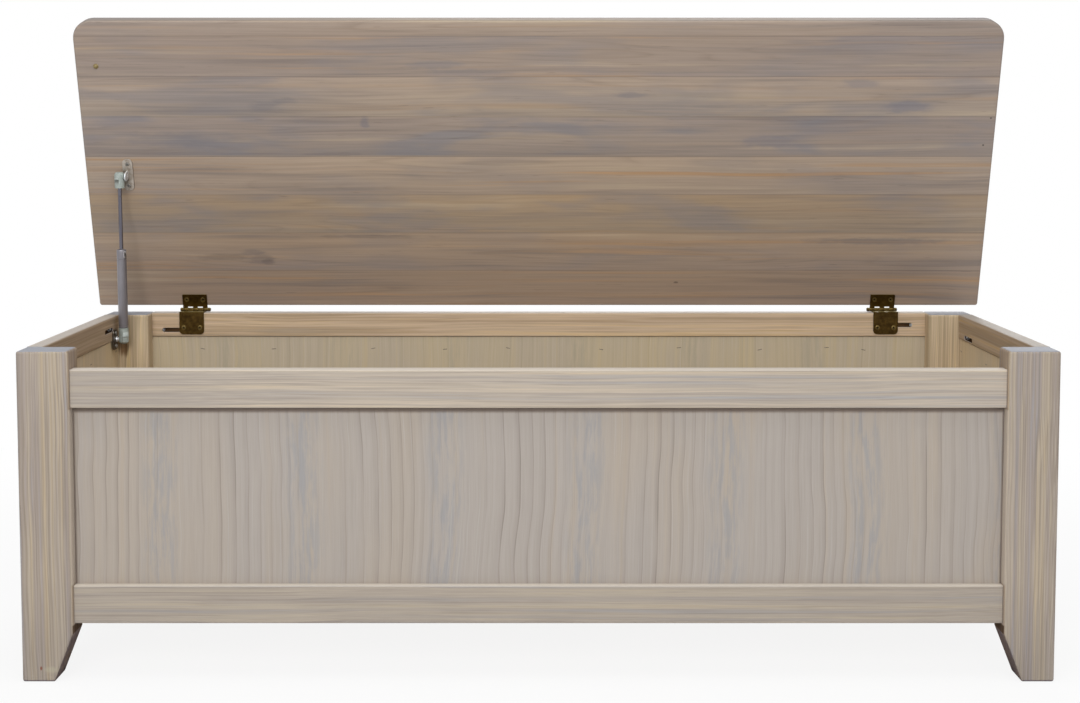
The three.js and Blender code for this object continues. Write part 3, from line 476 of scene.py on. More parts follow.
# Painted shade on the lid's front edge
LID_FRONT_EDGE_PAINTED_SHADE = (0.72, 0.76, 0.80, 1.0)
# Painted light on the middle of the lid
LID_MIDDLE_PAINTED_LIGHT = (1.08, 1.065, 1.02, 1.0)
LID_TONES = wash(
    grey="#7d736e", pale="#b8a68f", orange="#b08c66", blue="#7f7d83", line="#6b5c50", dash="#63544a",
    seam="#5c4c3e", edge="#b9aea3", end="#6f655e",
)
LID_MARKS = (
    ((-0.430, 0.336), (0.036, 0.010), "#7b777a", 0.6),
    ((-0.396, 0.345), (0.030, 0.007), "#787477", 0.5),
    ((-0.274, 0.310), (0.010, 0.012), "#75727a", 0.7),
    ((-0.453, 0.082), (0.032, 0.012), "#756b68", 0.65),
    ((-0.462, 0.093), (0.024, 0.008), "#726b6b", 0.5),
    ((-0.515, 0.085), (0.060, 0.008), "#75695f", 0.5),
    ((-0.438, 0.076), (0.014, 0.006), "#675c59", 0.6),
    ((0.579, 0.335), (0.050, 0.013), "#7c7980", 0.75),
    ((0.365, 0.279), (0.060, 0.014), "#7b787f", 0.6),
    ((0.148, 0.354), (0.040, 0.006), "#77747b", 0.6),
    ((0.502, 0.372), (0.040, 0.010), "#7f7c82", 0.5),
    ((-0.164, 0.403), (0.060, 0.010), "#7c7a80", 0.5),
    ((-0.109, 0.390), (0.080, 0.008), "#7d7a7f", 0.45),
    ((-0.272, 0.120), (0.130, 0.004), "#75685f", 0.5),
    ((0.550, 0.112), (0.150, 0.008), "#716e70", 0.6),
    ((-0.577, 0.281), (0.100, 0.016), "#7c787c", 0.5),
    ((-0.332, 0.258), (0.060, 0.004), "#6f6562", 0.4),
    ((0.224, 0.041), (0.005, 0.002), "#4c413b", 0.8),
    ((0.703, 0.273), (0.0025, 0.0025), "#2f2a28", 1.0),
    ((0.711, 0.317), (0.0018, 0.0018), "#3a3432", 0.9),
)


def lid_pine(name):
    """Eight staves glued edge to edge, each with its own tones, streaks and clouds of wash."""
    p = Pattern(name)
    turn = {"Vector": p.place, "Location": LID_PIN, "Rotation": (-LID_OPEN, 0, 0)}
    place = p.split(p.add("Mapping", turn, vector_type="TEXTURE").outputs[0])
    side, depth = place[0], place[2]
    span = p.times(p.plus(place[1], LID_REAR), -1.0)
    share = p.math("DIVIDE", span, LID_LENGTH)
    base_stops, cloud_stops, gold_stops, index_stops = [], [], [], []
    start = 0.0
    for count, (end, rear, front, cloudy, golden) in enumerate(STAVES):
        low, high = start / LID_LENGTH, (end - SEAM / 2) / LID_LENGTH
        base_stops += [(low, tone(rear)), (high, tone(front))]
        cloud_stops.append((low, cloudy))
        gold_stops.append((low, golden))
        index_stops.append((low, (count + 0.5) / len(STAVES)))
        start = end
    base = p.ramp(share, base_stops)
    cloudiness = p.ramp(share, cloud_stops, "CONSTANT")
    goldness = p.ramp(share, gold_stops, "CONSTANT")
    shift = p.times(p.ramp(share, index_stops, "CONSTANT"), 40.0)
    run = p.plus(side, shift)
    board = p.vector(span, depth, run)
    sway = p.less(p.noise(board, (9, 9, 2.6)), 0.5)
    moved = p.vector(p.plus(span, p.times(sway, 0.014)), depth, run)
    broad = p.noise(moved, (48, 48, 1.5), 3.0, 0.62)
    gold = p.noise(moved, (85, 85, 1.1), 3.0, 0.6, shift=(0, 7, 0))
    mist = p.noise(board, (19, 19, 4.2), 3.0, 0.55, 0.25, shift=(3, 0, 0))
    fibre = p.noise(moved, (800, 800, 12), 2.0, 0.6)
    grain = p.noise(moved, (260, 260, 3.0), 3.0, 0.65, shift=(1, 0, 0))
    dash = p.noise(moved, (420, 420, 26), 1.0, shift=(5, 0, 0))
    colour = p.blend(p.between(broad, 0.50, 0.30, 0.0, 0.6), base, LID_TONES["grey"])
    colour = p.blend(p.between(broad, 0.54, 0.72, 0.0, 0.55), colour, LID_TONES["pale"])
    orange = p.times(p.between(gold, 0.53, 0.70, 0.0, 0.85), goldness)
    colour = p.blend(orange, colour, LID_TONES["orange"])
    blue = p.times(p.between(mist, 0.45, 0.66, 0.0, 0.75), cloudiness)
    colour = p.blend(blue, colour, LID_TONES["blue"])
    field = p.noise(moved, (24, 24, 1.0), 1.0, shift=(0, 2, 0))
    contour = p.math("FRACT", p.times(field, 17.0))
    pencil = p.ramp(contour, ((0.0, 0.3), (0.12, 0.0), (0.72, 0.05), (0.94, 1.0), (1.0, 0.3)))
    weight = p.between(p.noise(moved, (30, 30, 1.6), shift=(6, 0, 0)), 0.44, 0.66, 0.03, 0.22)
    line = p.times(pencil, weight)
    colour = p.blend(line, colour, LID_TONES["line"])
    colour = p.blend(p.between(dash, 0.70, 0.80, 0.0, 0.3), colour, LID_TONES["dash"])
    ragged = p.times(p.less(p.noise(board, (120, 120, 40)), 0.5), 1.1)
    under = p.between(depth, 0.004, 0.006, 1.0, 0.0)
    for spot, size, code, amount in LID_MARKS:
        mark = stain(p, amount * 0.8, side, span, spot, size, ragged)
        colour = p.blend(p.times(mark, under), colour, tone(code))
    shade = p.ramp(grain, ((0.28, 0.86), (0.5, 0.98), (0.72, 1.07)))
    colour = p.tint(1.0, colour, shade)
    shade = p.ramp(fibre, ((0.25, 0.93), (0.5, 0.99), (0.75, 1.04)))
    colour = p.tint(1.0, colour, shade)
    # Painted light: the middle of the lid is paler, fading towards its ends
    lit_middle = p.between(p.math("ABSOLUTE", side), 0.12, 0.60, 1.0, 0.0)
    colour = p.tint(lit_middle, colour, LID_MIDDLE_PAINTED_LIGHT)
    seam = 0.0
    for stave in STAVES[:-1]:
        near = p.math("ABSOLUTE", p.less(span, stave[0]))
        seam = p.math("MAXIMUM", seam, p.between(near, SEAM / 3, SEAM * 1.3, 1.0, 0.0))
    colour = p.blend(p.times(seam, 0.3), colour, LID_TONES["seam"])
    colour = p.blend(p.times(p.worn(0.003), 0.35), colour, LID_TONES["edge"])
    # Painted shade: the lid's front edge, turned up when the lid is open, is darker
    ahead = p.dot(p.normal, LID.to_3x3() @ Vector((0, -1, 0)))
    colour = p.tint(p.between(ahead, 0.4, 0.9), colour, LID_FRONT_EDGE_PAINTED_SHADE)
    end = p.math("ABSOLUTE", p.split(p.normal)[0])
    colour = p.blend(p.between(end, 0.3, 0.8, 0.0, 0.8), colour, LID_TONES["end"])
    height = p.plus(p.times(fibre, 0.5), p.times(line, 0.5))
    rough = p.between(fibre, 0.2, 0.8, 0.5, 0.66)
    return p.finish(colour, rough, height, PORE_DEPTH, ARRIS, Specular_IOR_Level=WOOD_GLOSS)


# Metal, nylon and rubber


def bronze(name, base="#493818", dull="#3f2e13", light="#55421f"):
    p = Pattern(name)
    cloud = p.noise(p.place, (180,) * 3, 3.0, 0.6)
    speck = p.noise(p.place, (1400,) * 3)
    colour = p.ramp(cloud, ((0.3, tone(dull)), (0.55, tone(base)), (0.75, tone(light))))
    # Painted reflection: faces turned up are paler and yellower
    colour = p.blend(p.between(p.split(p.normal)[2], 0.5, 0.9, 0.0, 0.85), colour, tone("#a1945f"))
    colour = p.blend(p.times(p.worn(0.0006), 0.6), colour, tone("#a8955a"))
    rough = p.between(cloud, 0.3, 0.7, 0.34, 0.5)
    return p.finish(colour, rough, speck, 0.00003, Metallic=0.9, Specular_IOR_Level=0.3)


def coat(name, tones, cloud, grain, worn, rough, bump, by_grain=False, **sockets):
    """Soft patches of two tones, a fine grain in relief and edges worn lighter."""
    p = Pattern(name)
    base, dull, light = (tone(code) for code in tones)
    patches = p.noise(p.place, cloud, 3.0, 0.6)
    fine = p.noise(p.place, grain)
    colour = p.blend(p.between(patches, 0.35, 0.7), base, dull)
    colour = p.blend(p.times(p.worn(worn[0]), worn[1]), colour, light)
    rough = p.between(fine if by_grain else patches, 0.3, 0.7, *rough)
    return p.finish(colour, rough, fine, bump, **sockets)


def zinc(name, base="#8c8d8f", dull="#68665f", rough=0.26, metallic=1.0):
    sizes = ((160,) * 3, (1800,) * 3, (0.0006, 0.8))
    return coat(name, (base, dull, "#dcdcd8"), *sizes, (rough, rough + 0.14), 0.00002, Metallic=metallic)


def strut_grey(name):
    sizes = ((60, 60, 25), (900,) * 3, (0.0006, 0.8))
    return coat(name, ("#878489", "#7f7c81", "#c9c9cc"), *sizes, (0.3, 0.4), 0.00002, Metallic=0.5)


def nylon(name, base="#a5aea8", dull="#959e98", light="#c6cdc7"):
    sizes = ((120,) * 3, (1600,) * 3, (0.0008, 0.5))
    return coat(name, (base, dull, light), *sizes, (0.4, 0.55), 0.00003, by_grain=True)


def rod_steel(name):
    """Polished rod steel, drawn lengthwise."""
    p = Pattern(name)
    drawn = p.noise(p.place, (900, 900, 12))
    colour = p.blend(p.between(drawn, 0.3, 0.7), tone("#6e6c74"), tone("#5f5c65"))
    rough = p.between(drawn, 0.3, 0.7, 0.14, 0.2)
    return p.finish(colour, rough, drawn, 0.00001, Metallic=1.0)


def rubber(name):
    p = Pattern(name)
    cloud = p.noise(p.place, (300,) * 3, 3.0, 0.6)
    colour = p.blend(p.between(cloud, 0.35, 0.7), tone("#8c7a4c"), tone("#75663b"))
    rough = p.between(cloud, 0.3, 0.7, 0.35, 0.55)
    return p.finish(colour, rough, cloud, 0.00004)


def dress(node, material):
    piece = frame["nodes"][node]
    piece.data.materials.clear()
    piece.data.materials.append(material)


# Knots, stains and one darker rail end by place, half size, tone and strength; a front post's are measured
# from its foot cut

FOOT_CUT = 0.19
POST_MARKS = {
    "post_front_left": (
        ((-0.674, -0.171), (0.002, 0.0035), "#8a4a34", 0.9),
        ((-0.660, -0.173), (0.014, 0.006), "#c0b79c", 0.5),
    ),
    "post_back_left": (
        ((-0.671, 0.397), (0.0100, 0.016), "#74522c", 0.85),
        ((-0.665, 0.398), (0.0045, 0.018), "#5f4526", 0.75),
        ((-0.677, 0.402), (0.0030, 0.014), "#5f4526", 0.6),
    ),
}
# The front top rail's one mark darkens its whole left end
RAIL_MARKS = (((-0.23, -0.64), (1.0, 0.34), "#a0978f", 0.45),)


def dress_posts():
    rail_low, rail_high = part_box("rail_front_bottom")
    opening = (rail_low.z, rail_high.z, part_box("rail_front_top")[0].z)
    for end in ("front", "back"):
        for side in ("left", "right"):
            node = f"post_{end}_{side}"
            low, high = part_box(node)
            sign = -1 if side == "left" else 1
            middle = (low.x + high.x) / 2
            seed = 3.0 + 4.0 * (side == "right") + 9.0 * (end == "back")
            pith = (middle + sign * 0.07, low.y - 0.03)
            ring = 0.0085 if side == "left" else 0.0068
            marks = POST_MARKS.get(node, ())
            more = {"weight": 1.0, "steady": 0.3, "hair": 0.45}
            if end == "front":
                marks = [((x, low.z + FOOT_CUT + z), *rest) for (x, z), *rest in marks]
                stripe = (0.022, 0.05) if side == "left" else (0.03, 0.03)
                more |= {"cut": (-sign, *opening), "glow": (middle + 0.004, *stripe)}
            else:
                more |= {"inner": ("Y", -1), "inner_tones": POST_INNER_TONES, "sideways": -sign}
                more["glow"] = (middle, 0.2, 0.02)
            dress(node, pine(f"pine_{node}", "Z", pith, seed, POST_TONES, ring, marks=marks, **more))


def dress_rail(node, grain, level, seed, inner):
    low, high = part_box(node)
    middle = (low + high) / 2
    across = middle.y if grain == "X" else middle.x
    top = level == "top"
    pith = (across + 0.02, low.z - 0.045 if top else high.z + 0.09)
    tones = RAIL_TONES if top else LOW_RAIL_TONES
    more = {"bounds": (low, high), "weight": 0.7 if top else 0.3, "wavy": 0.0025}
    # Painted light on the ledges of the bottom rails and of the front top rail
    if not top or node == "rail_front_top":
        more["rim"] = (LEDGE_PAINTED_LIGHT, TOP_LIGHT_SHARE)
    if node == "rail_front_top":
        more["marks"] = RAIL_MARKS
    # Painted shade: the right top rail's top is darker
    if node == "rail_right_top":
        more["rim"] = (RIGHT_TOP_PAINTED_SHADE, TOP_LIGHT_SHARE)
    if grain == "Y":
        # Painted shade on the side rails' inner faces
        more["dusk"] = SIDE_RAIL_PAINTED_SHADE
    ring = 0.0105 if top else 0.0062
    dress(node, pine(f"pine_{node}", grain, pith, seed, tones, ring, inner, **more))


def dress_chest():
    dress_posts()
    ways = {"front": ("Y", 1), "back": ("Y", -1), "left": ("X", 1), "right": ("X", -1)}
    for count, (side, inner) in enumerate(ways.items()):
        grain = "X" if side in ("front", "back") else "Y"
        for level in ("top", "bottom"):
            seed = 2.0 + 5.0 * count + 2.5 * (level == "bottom")
            dress_rail(f"rail_{side}_{level}", grain, level, seed, inner)
        low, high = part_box(f"rail_{side}_top")
        turn = "XYZ".index(grain)
        opening = ((low[turn] + high[turn]) / 2, (high[turn] - low[turn]) / 2, low.z)
        dress(f"panel_{side}", veneer(f"ply_panel_{side}", grain, 1.0 + count, *inner, opening))
        cleat = f"cleat_{side}"
        low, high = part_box(cleat)
        pith = (low.y - 0.05, low.z - 0.03)
        dress(cleat, pine(f"pine_{cleat}", grain, pith, 7.0 + count, RAW_TONES))
    dress("floor_panel", pine("ply_floor", "X", (0.0, -0.4), 4.0, RAW_TONES, 0.013))
    dress("lid", lid_pine("lid_pine"))
    finishes = {
        "hinge": bronze("hinge_bronze"),
        "zinc": zinc("zinc_steel"),
        "rod": rod_steel("strut_rod_steel"),
        "grey": strut_grey("strut_grey"),
        "nylon": nylon("socket_nylon"),
        "rubber": rubber("bumper_rubber"),
    }
    kinds = {
        "hinge_": "hinge", "pocket_": "zinc", "strut_": "zinc", "strut_cylinder": "grey",
        "strut_collar": "grey", "strut_rod": "rod", "strut_lower_socket": "nylon",
        "strut_upper_socket": "nylon", "lid_bumper": "rubber",
    }
    for start, kind in kinds.items():
        for node in frame["nodes"]:
            if node.startswith(start):
                dress(node, finishes[kind])
    return finishes


# New pieces, in metres from millimetres

MM = 0.001
TURN_STEPS = 40
WELD = 0.00001
FLAT_FROM = 0.00002
LID = Matrix.Translation(LID_PIN) @ Matrix.Rotation(-LID_OPEN, 4, "X")
STRUT_AXIS = Vector(JOINTS["strut_slide"]["axis"])
STRUT_AXIS = STRUT_AXIS if STRUT_AXIS.z > 0 else -STRUT_AXIS
STRUT = Matrix.Translation(STRUT_FOOT) @ Matrix.Rotation(math.atan2(-STRUT_AXIS.y, STRUT_AXIS.z), 4, "X")
POCKET_ANGLE = math.radians(12)
LOW_SCREW_RISE = 14 * MM
PLATE = 3.0 * MM
CREASE = math.radians(35)
SHARP = math.radians(40)
ROUNDING = {"affect": "EDGES", "segments": 2, "profile": 0.5, "material": -1}


def extent(node, axes):
    """The lowest and highest corners of a CAD node as seen in other axes."""
    back = axes.inverted()
    spots = [back @ vertex.co for vertex in frame["nodes"][node].data.vertices]
    return [Vector([pick(spot[i] for spot in spots) for i in range(3)]) for pick in (min, max)]


def reach(node):
    """How low and how high a CAD node reaches along the strut's line, in millimetres."""
    return [corner.z / MM for corner in extent(node, STRUT)]


def place_piece(name, shape, finishes, body, slot, replaced=(), at=Matrix(), flat_from=math.inf):
    """Makes a shape a piece in its place, smooth between its creases and flat faces, on a body."""
    bmesh.ops.transform(shape, matrix=at, verts=shape.verts)
    bmesh.ops.recalc_face_normals(shape, faces=shape.faces)
    for face in shape.faces:
        face.smooth = face.calc_area() < flat_from
    for edge in shape.edges:
        edge.smooth = edge.calc_face_angle(0.0) < CREASE
    mesh = bpy.data.meshes.new(name)
    shape.to_mesh(mesh)
    shape.free()
    for finish in finishes if isinstance(finishes, tuple) else (finishes,):
        mesh.materials.append(finish)
    piece = bpy.data.objects.new(name, mesh)
    bpy.context.collection.objects.link(piece)
    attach(piece, body)
    if replaced:
        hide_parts(*replaced)


def turned(profile, closed=False, steps=TURN_STEPS):
    """A shape turned about Z from points of radius and height in millimetres."""
    shape = bmesh.new()
    points = [shape.verts.new((radius * MM, 0, height * MM)) for radius, height in profile]
    edges = [shape.edges.new(pair) for pair in zip(points, points[1:])]
    if closed:
        edges.append(shape.edges.new((points[-1], points[0])))
    full = {"axis": (0, 0, 1), "angle": 2 * math.pi, "steps": steps, "use_merge": True}
    bmesh.ops.spin(shape, geom=points + edges, **full)
    bmesh.ops.remove_doubles(shape, verts=shape.verts, dist=WELD)
    bmesh.ops.recalc_face_normals(shape, faces=shape.faces)
    return shape


def sink(shape, run, finish, chosen):
    """Pushes the chosen faces into the shape along a run in millimetres, and gives their walls a finish."""
    faces = [face for face in shape.faces if chosen(face.calc_center_median() / MM)]
    before = set(shape.faces)
    made = bmesh.ops.extrude_face_region(shape, geom=faces)["geom"]
    moved = [item for item in made if isinstance(item, bmesh.types.BMVert)]
    bmesh.ops.translate(shape, verts=moved, vec=Vector(run) * MM)
    for face in set(shape.faces) - before:
        face.material_index = finish


def grow(shape, radius, height):
    """Grows the open rim of a round shape by one more ring."""
    rim = [edge for edge in shape.edges if edge.is_boundary]
    made = bmesh.ops.extrude_edge_only(shape, edges=rim)["geom"]
    ring = [item for item in made if isinstance(item, bmesh.types.BMVert)]
    for vert in ring:
        flat = Vector((vert.co.x, vert.co.y, 0)).normalized() * radius
        vert.co = (flat.x, flat.y, height)
    return ring


def screw_shape(head, crown, shank, length, cone, pitch=1.4 * MM):
    """A screw with a cross recess and a threaded shank, head upward, and a cone under a sunk head."""
    shape = bmesh.new()
    arm = 0.62 * head
    bmesh.ops.create_grid(shape, x_segments=3, y_segments=3, size=arm)
    for vert in shape.verts:
        vert.co.z = crown * (1 - 0.25 * (vert.co.length / head) ** 2)
    middles = {face: face.calc_center_median() for face in shape.faces}
    cross = [face for face, spot in middles.items() if min(abs(spot.x), abs(spot.y)) < arm / 10]
    bmesh.ops.inset_region(shape, faces=cross, thickness=arm / 9, depth=-0.3 * head, use_boundary=True)
    for face in cross:
        face.material_index = 1
    rim = [edge for edge in shape.edges if edge.is_boundary]
    bmesh.ops.subdivide_edges(shape, edges=rim, cuts=1)
    for radius, height in ((0.95, 0.68), (1.0, 0.4), (0.98, 0.06), (0.9, 0.0)):
        grow(shape, radius * head, height * crown)
    grow(shape, 0.8 * shank, -cone)
    turns = int((length - cone - 2 * shank) / pitch)
    for turn in range(turns):
        taper = min(1.0, 0.55 + 0.25 * (turns - turn))
        grow(shape, shank * taper, -cone - (turn + 0.6) * pitch)
        grow(shape, 0.78 * shank * taper, -cone - (turn + 1.0) * pitch)
    bmesh.ops.pointmerge(shape, verts=grow(shape, 0.3 * shank, -length), merge_co=(0, 0, -length))
    return shape


def place_screw(name, node, facing, crown, cone, shank, finish, slot, body, spin, drop=0.0):
    """Drives a screw in where a CAD screw is, or stands a new one below it by the drop."""
    turn = facing.to_track_quat("Z", "Y").to_matrix().to_4x4()
    low, high = extent(node, turn)
    middle = (low + high) / 2
    shape = screw_shape((high.x - low.x) / 2, crown, shank, high.z - low.z - crown, cone)
    seat = Matrix.Translation((middle.x, middle.y, high.z - crown)) @ Matrix.Rotation(spin, 4, "Z")
    place = Matrix.Translation((0, 0, drop)) @ (turn @ seat)
    place_piece(name, shape, finish, body, slot, () if drop else (node,), place)


def place_screws(finishes):
    """All screws, by facing, height of head, depth of cone and radius of shank."""
    down = (LID.to_3x3() @ Vector((0, 0, -1))).normalized()
    spins = iter(range(100))
    bronze_cross = (finishes["bronze_screw"], finishes["bronze_shadow"])
    dull_cross = (finishes["dull_screw"], finishes["dark"])
    bright_cross = (finishes["screw"], finishes["dark"])
    for side in ("left", "right"):
        for end in ("inner", "outer"):
            for leaf, facing, body in (("rail", Vector((0, -1, 0)), "carcass"), ("lid", down, "lid")):
                node = f"hinge_{side}_{leaf}_screw_{end}"
                sunk = (facing, 0.3 * MM, 1.4 * MM, 1.75 * MM, bronze_cross, "hinge_bronze", body)
                place_screw(f"{node}_cross", node, *sunk, 0.9 * next(spins))
    for on, facing, body in (("side", Vector((1, 0, 0)), "carcass"), ("lid", down, "lid")):
        for end in ("lower", "upper"):
            node = f"strut_{on}_screw_{end}"
            domed = (facing, 1.5 * MM, 0.0, 1.75 * MM, dull_cross, "zinc_steel", body)
            place_screw(f"{node}_cross", node, *domed, 0.7 * next(spins))
    outward = {"front": (0, -1, 0), "back": (0, 1, 0), "left": (-1, 0, 0), "right": (1, 0, 0)}
    for side in ("front", "back", "left", "right"):
        ends = ("left", "right") if side in ("front", "back") else ("front", "back")
        for end in ends:
            along, inner = -Vector(outward[end]), -Vector(outward[side])
            facing = along * math.cos(POCKET_ANGLE) + inner * math.sin(POCKET_ANGLE)
            node = f"pocket_screw_{side}_top_{end}"
            pocket = (facing, 1.8 * MM, 0.0, 2.0 * MM, bright_cross, "zinc_steel", "carcass")
            place_screw(f"{node}_cross", node, *pocket, 0.8 * next(spins))
            low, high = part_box(node)
            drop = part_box(f"rail_{side}_bottom")[0].z + LOW_SCREW_RISE - (low.z + high.z) / 2
            place_screw(f"pocket_screw_{side}_bottom_{end}", node, *pocket, 0.6 * next(spins), drop)


def place_strut(finishes):
    """The gas strut's pieces, each turned about the strut's line and then set along it."""
    stub_low, tube_high = reach("strut_cylinder")
    tube_low = stub_low + 9.0
    wide, bore, stub = 7.5, 6.1, 3.0
    tube = turned(
        [
            (0, tube_low + 5), (bore, tube_low + 5), (bore, tube_high), (wide - 0.3, tube_high),
            (wide, tube_high - 0.3), (wide, tube_low + 3.4), (wide - 0.5, tube_low + 3.0),
            (wide - 0.5, tube_low + 2.3), (wide, tube_low + 1.9), (wide - 0.1, tube_low + 1.0),
            (wide - 0.5, tube_low + 0.4), (wide - 1.3, tube_low), (stub, tube_low),
            (stub, stub_low + 0.4), (stub - 0.4, stub_low), (0, stub_low),
        ]
    )
    low, high = reach("strut_collar")
    seam = tube_high + 0.3
    collar = turned(
        [
            (3.3, low), (bore - 0.3, low), (bore - 0.3, seam), (wide - 0.4, seam),
            (wide, seam + 0.4), (wide, seam + 7.0), (wide, seam + 10.5), (wide, high - 1.4),
            (wide - 0.25, high - 0.7), (wide - 0.7, high - 0.25), (wide - 1.4, high), (4.4, high),
            (3.9, high - 0.5), (3.3, high - 0.5),
        ],
        closed=True,
    )

    def mark(spot):
        return seam + 7.0 < spot.z < seam + 10.5 and 5.4 < spot.x < 7.4 and spot.y < 0

    sink(collar, (-1.2, 0.6, 0), 1, mark)
    low, high = reach("strut_rod")
    rod = turned(
        [
            (0, low), (1.7, low), (2.0, low + 0.3), (2.0, low + 6), (3.0, low + 6),
            (3.0, high - 22.5), (2.75, high - 22.2), (2.75, high - 21.4), (3.0, high - 21.1),
            (3.0, high - 0.6), (2.4, high), (0, high),
        ],
        steps=32,
    )
    pieces = {
        "strut_cylinder": (tube, finishes["grey"], "strut_body", "strut_grey"),
        "strut_collar": (collar, (finishes["grey"], finishes["dark"]), "strut_body", "strut_grey"),
        "strut_rod": (rod, finishes["rod"], "strut_rod", "zinc_steel"),
    }
    for node, (shape, *rest) in pieces.items():
        place_piece(f"{node}_turned", shape, *rest, (node,), STRUT)


def place_sockets(finishes):
    """Two ball sockets, each with a round sleeve, a rounded cap, a side bore and a clip window."""
    wide, groove = 7.7, 0.35
    both = (finishes["nylon"], finishes["dark"])
    for node, body, stud in (
        ("strut_lower_socket", "strut_body", -1), ("strut_upper_socket", "strut_rod", 1),
    ):
        low, high = reach(node)
        lower = stud < 0
        cap, end = (low if lower else high), high - low
        window, bore = ((3.2, 11.4), (3.7, 10.3)) if lower else ((7.6, 13.0), (4.4, 11.0))
        profile = [(0, 0), (3.2, 0), (5.0, 0.5), (6.4, 1.5), (7.3, 2.9)]
        profile += [(wide, depth) for depth in sorted(window + bore)]
        profile += [
            (wide, end - 2.6), (wide - groove, end - 2.3), (wide - groove, end - 1.5), (wide, end - 1.2),
            (wide - 0.1, end - 0.3), (wide - 0.6, end), (3.3, end), (3.3, end - 8.9), (0, end - 8.9),
        ]
        shape = turned([(radius, cap - stud * depth) for radius, depth in profile])

        def in_bore(spot):
            depth = stud * (cap - spot.z)
            return stud * spot.x > 6.8 and bore[0] < depth < bore[1] and abs(spot.y) < 3.4

        def in_window(spot):
            depth = stud * (cap - spot.z)
            beside = spot.x > 0.3 if lower else spot.x < 0.6
            outside = spot.y < -1.0 and math.hypot(spot.x, spot.y) > 7
            return beside and outside and window[0] < depth < window[1]

        sink(shape, (-stud * 11, 0, 0), 0, in_bore)
        sink(shape, (-3.0 if lower else 2.6, 3.6, 0), 1, in_window)
        place_piece(f"{node}_moulded", shape, both, body, "socket_nylon", (node,), STRUT)


def place_bumper(finishes):
    low, high = extent("lid_bumper", LID)
    middle = (low + high) / 2
    wide = (high.x - low.x) / 2 / MM
    tall = (high.z - low.z) / MM
    profile = [(0, 0), (wide, 0), (wide, -0.5), (wide - 0.3, -0.8), (wide - 0.6, -0.9)]
    for step in range(1, 7):
        turn = step / 6 * math.pi / 2
        profile.append(((wide - 0.6) * math.cos(turn), -0.9 - (tall - 0.9) * math.sin(turn)))
    ride = (finishes["rubber"], "lid", "bumper_rubber", ("lid_bumper",))
    place = LID @ Matrix.Translation((middle.x, middle.y, high.z))
    place_piece("lid_bumper_domed", turned(profile), *ride, place)


def ease(node, width, finish, body, slot, stud=None):
    """A copy of a CAD node with rounded edges, whose faces past the stud's plane get a second finish."""
    shape = bmesh.new()
    shape.from_mesh(frame["nodes"][node].data)
    bmesh.ops.remove_doubles(shape, verts=shape.verts, dist=WELD / 2)
    bmesh.ops.dissolve_limit(shape, angle_limit=math.radians(1), verts=shape.verts, edges=shape.edges)
    sharp = [edge for edge in shape.edges if edge.calc_face_angle(0.0) > SHARP]
    bmesh.ops.bevel(shape, geom=sharp, offset=width, clamp_overlap=True, **ROUNDING)
    if stud:
        axes, level = stud
        back = axes.inverted()
        for face in shape.faces:
            face.material_index = int((back @ face.calc_center_median()).z < level)
    place_piece(f"{node}_eased", shape, finish, body, slot, (node,), flat_from=FLAT_FROM)


def place_metal(finishes):
    for side in ("left", "right"):
        ease(f"hinge_{side}_rail_leaf", 0.3 * MM, finishes["hinge"], "carcass", "hinge_bronze")
        ease(f"hinge_{side}_lid_leaf", 0.3 * MM, finishes["hinge"], "lid", "hinge_bronze")
    both = (finishes["side_plate"], finishes["screw"])
    wall = Matrix.Rotation(-math.pi / 2, 4, "Y")
    level = extent("strut_side_bracket", wall)[1].z - PLATE
    ease("strut_side_bracket", 0.4 * MM, both, "carcass", "zinc_steel", (wall, level))
    both = (finishes["lid_plate"], finishes["screw"])
    level = extent("strut_lid_bracket", LID)[1].z - PLATE
    ease("strut_lid_bracket", 0.4 * MM, both, "lid", "zinc_steel", (LID, level))


def place_staples(finishes):
    """Wire staples that hold the panels along their top edges, seen from inside the chest."""
    spots = {
        "back": (-0.548, -0.432, -0.270, -0.153, -0.050, 0.102, 0.229, 0.361, 0.470, 0.530),
        "left": (-0.12, 0.03, 0.165),
        "right": (-0.12, 0.03, 0.165),
        "front": (-0.5, -0.33, -0.16, 0.01, 0.18, 0.35, 0.52),
    }
    crown, wire = 7.0 * MM, 1.1 * MM
    for side, places in spots.items():
        low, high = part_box(f"panel_{side}")
        rail_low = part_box(f"rail_{side}_top")[0].z
        shape = bmesh.new()
        for count, place in enumerate(places):
            made = bmesh.ops.create_cube(shape, size=1.0)["verts"]
            bmesh.ops.scale(shape, verts=made, vec=(crown, 0.6 * MM, wire))
            edges = list({edge for vert in made for edge in vert.link_edges})
            made = bmesh.ops.bevel(shape, geom=edges, offset=0.2 * MM, **ROUNDING)["verts"]
            made = list(set(made) | {v for vert in made for e in vert.link_edges for v in e.verts})
            tilt = Matrix.Rotation(0.25 * math.sin(5.0 * count + 1.0), 3, "Y")
            bmesh.ops.rotate(shape, verts=made, cent=(0, 0, 0), matrix=tilt)
            height = rail_low - (7.0 + 2.0 * math.sin(3.0 * count)) * MM
            if side in ("front", "back"):
                face = low.y if side == "back" else high.y
                bmesh.ops.translate(shape, verts=made, vec=(place, face, height))
                continue
            turn = Matrix.Rotation(math.pi / 2, 3, "Z")
            bmesh.ops.rotate(shape, verts=made, cent=(0, 0, 0), matrix=turn)
            face = high.x if side == "left" else low.x
            bmesh.ops.translate(shape, verts=made, vec=(face, place, height))
        place_piece(f"staples_{side}", shape, finishes["staple"], "carcass", "zinc_steel")


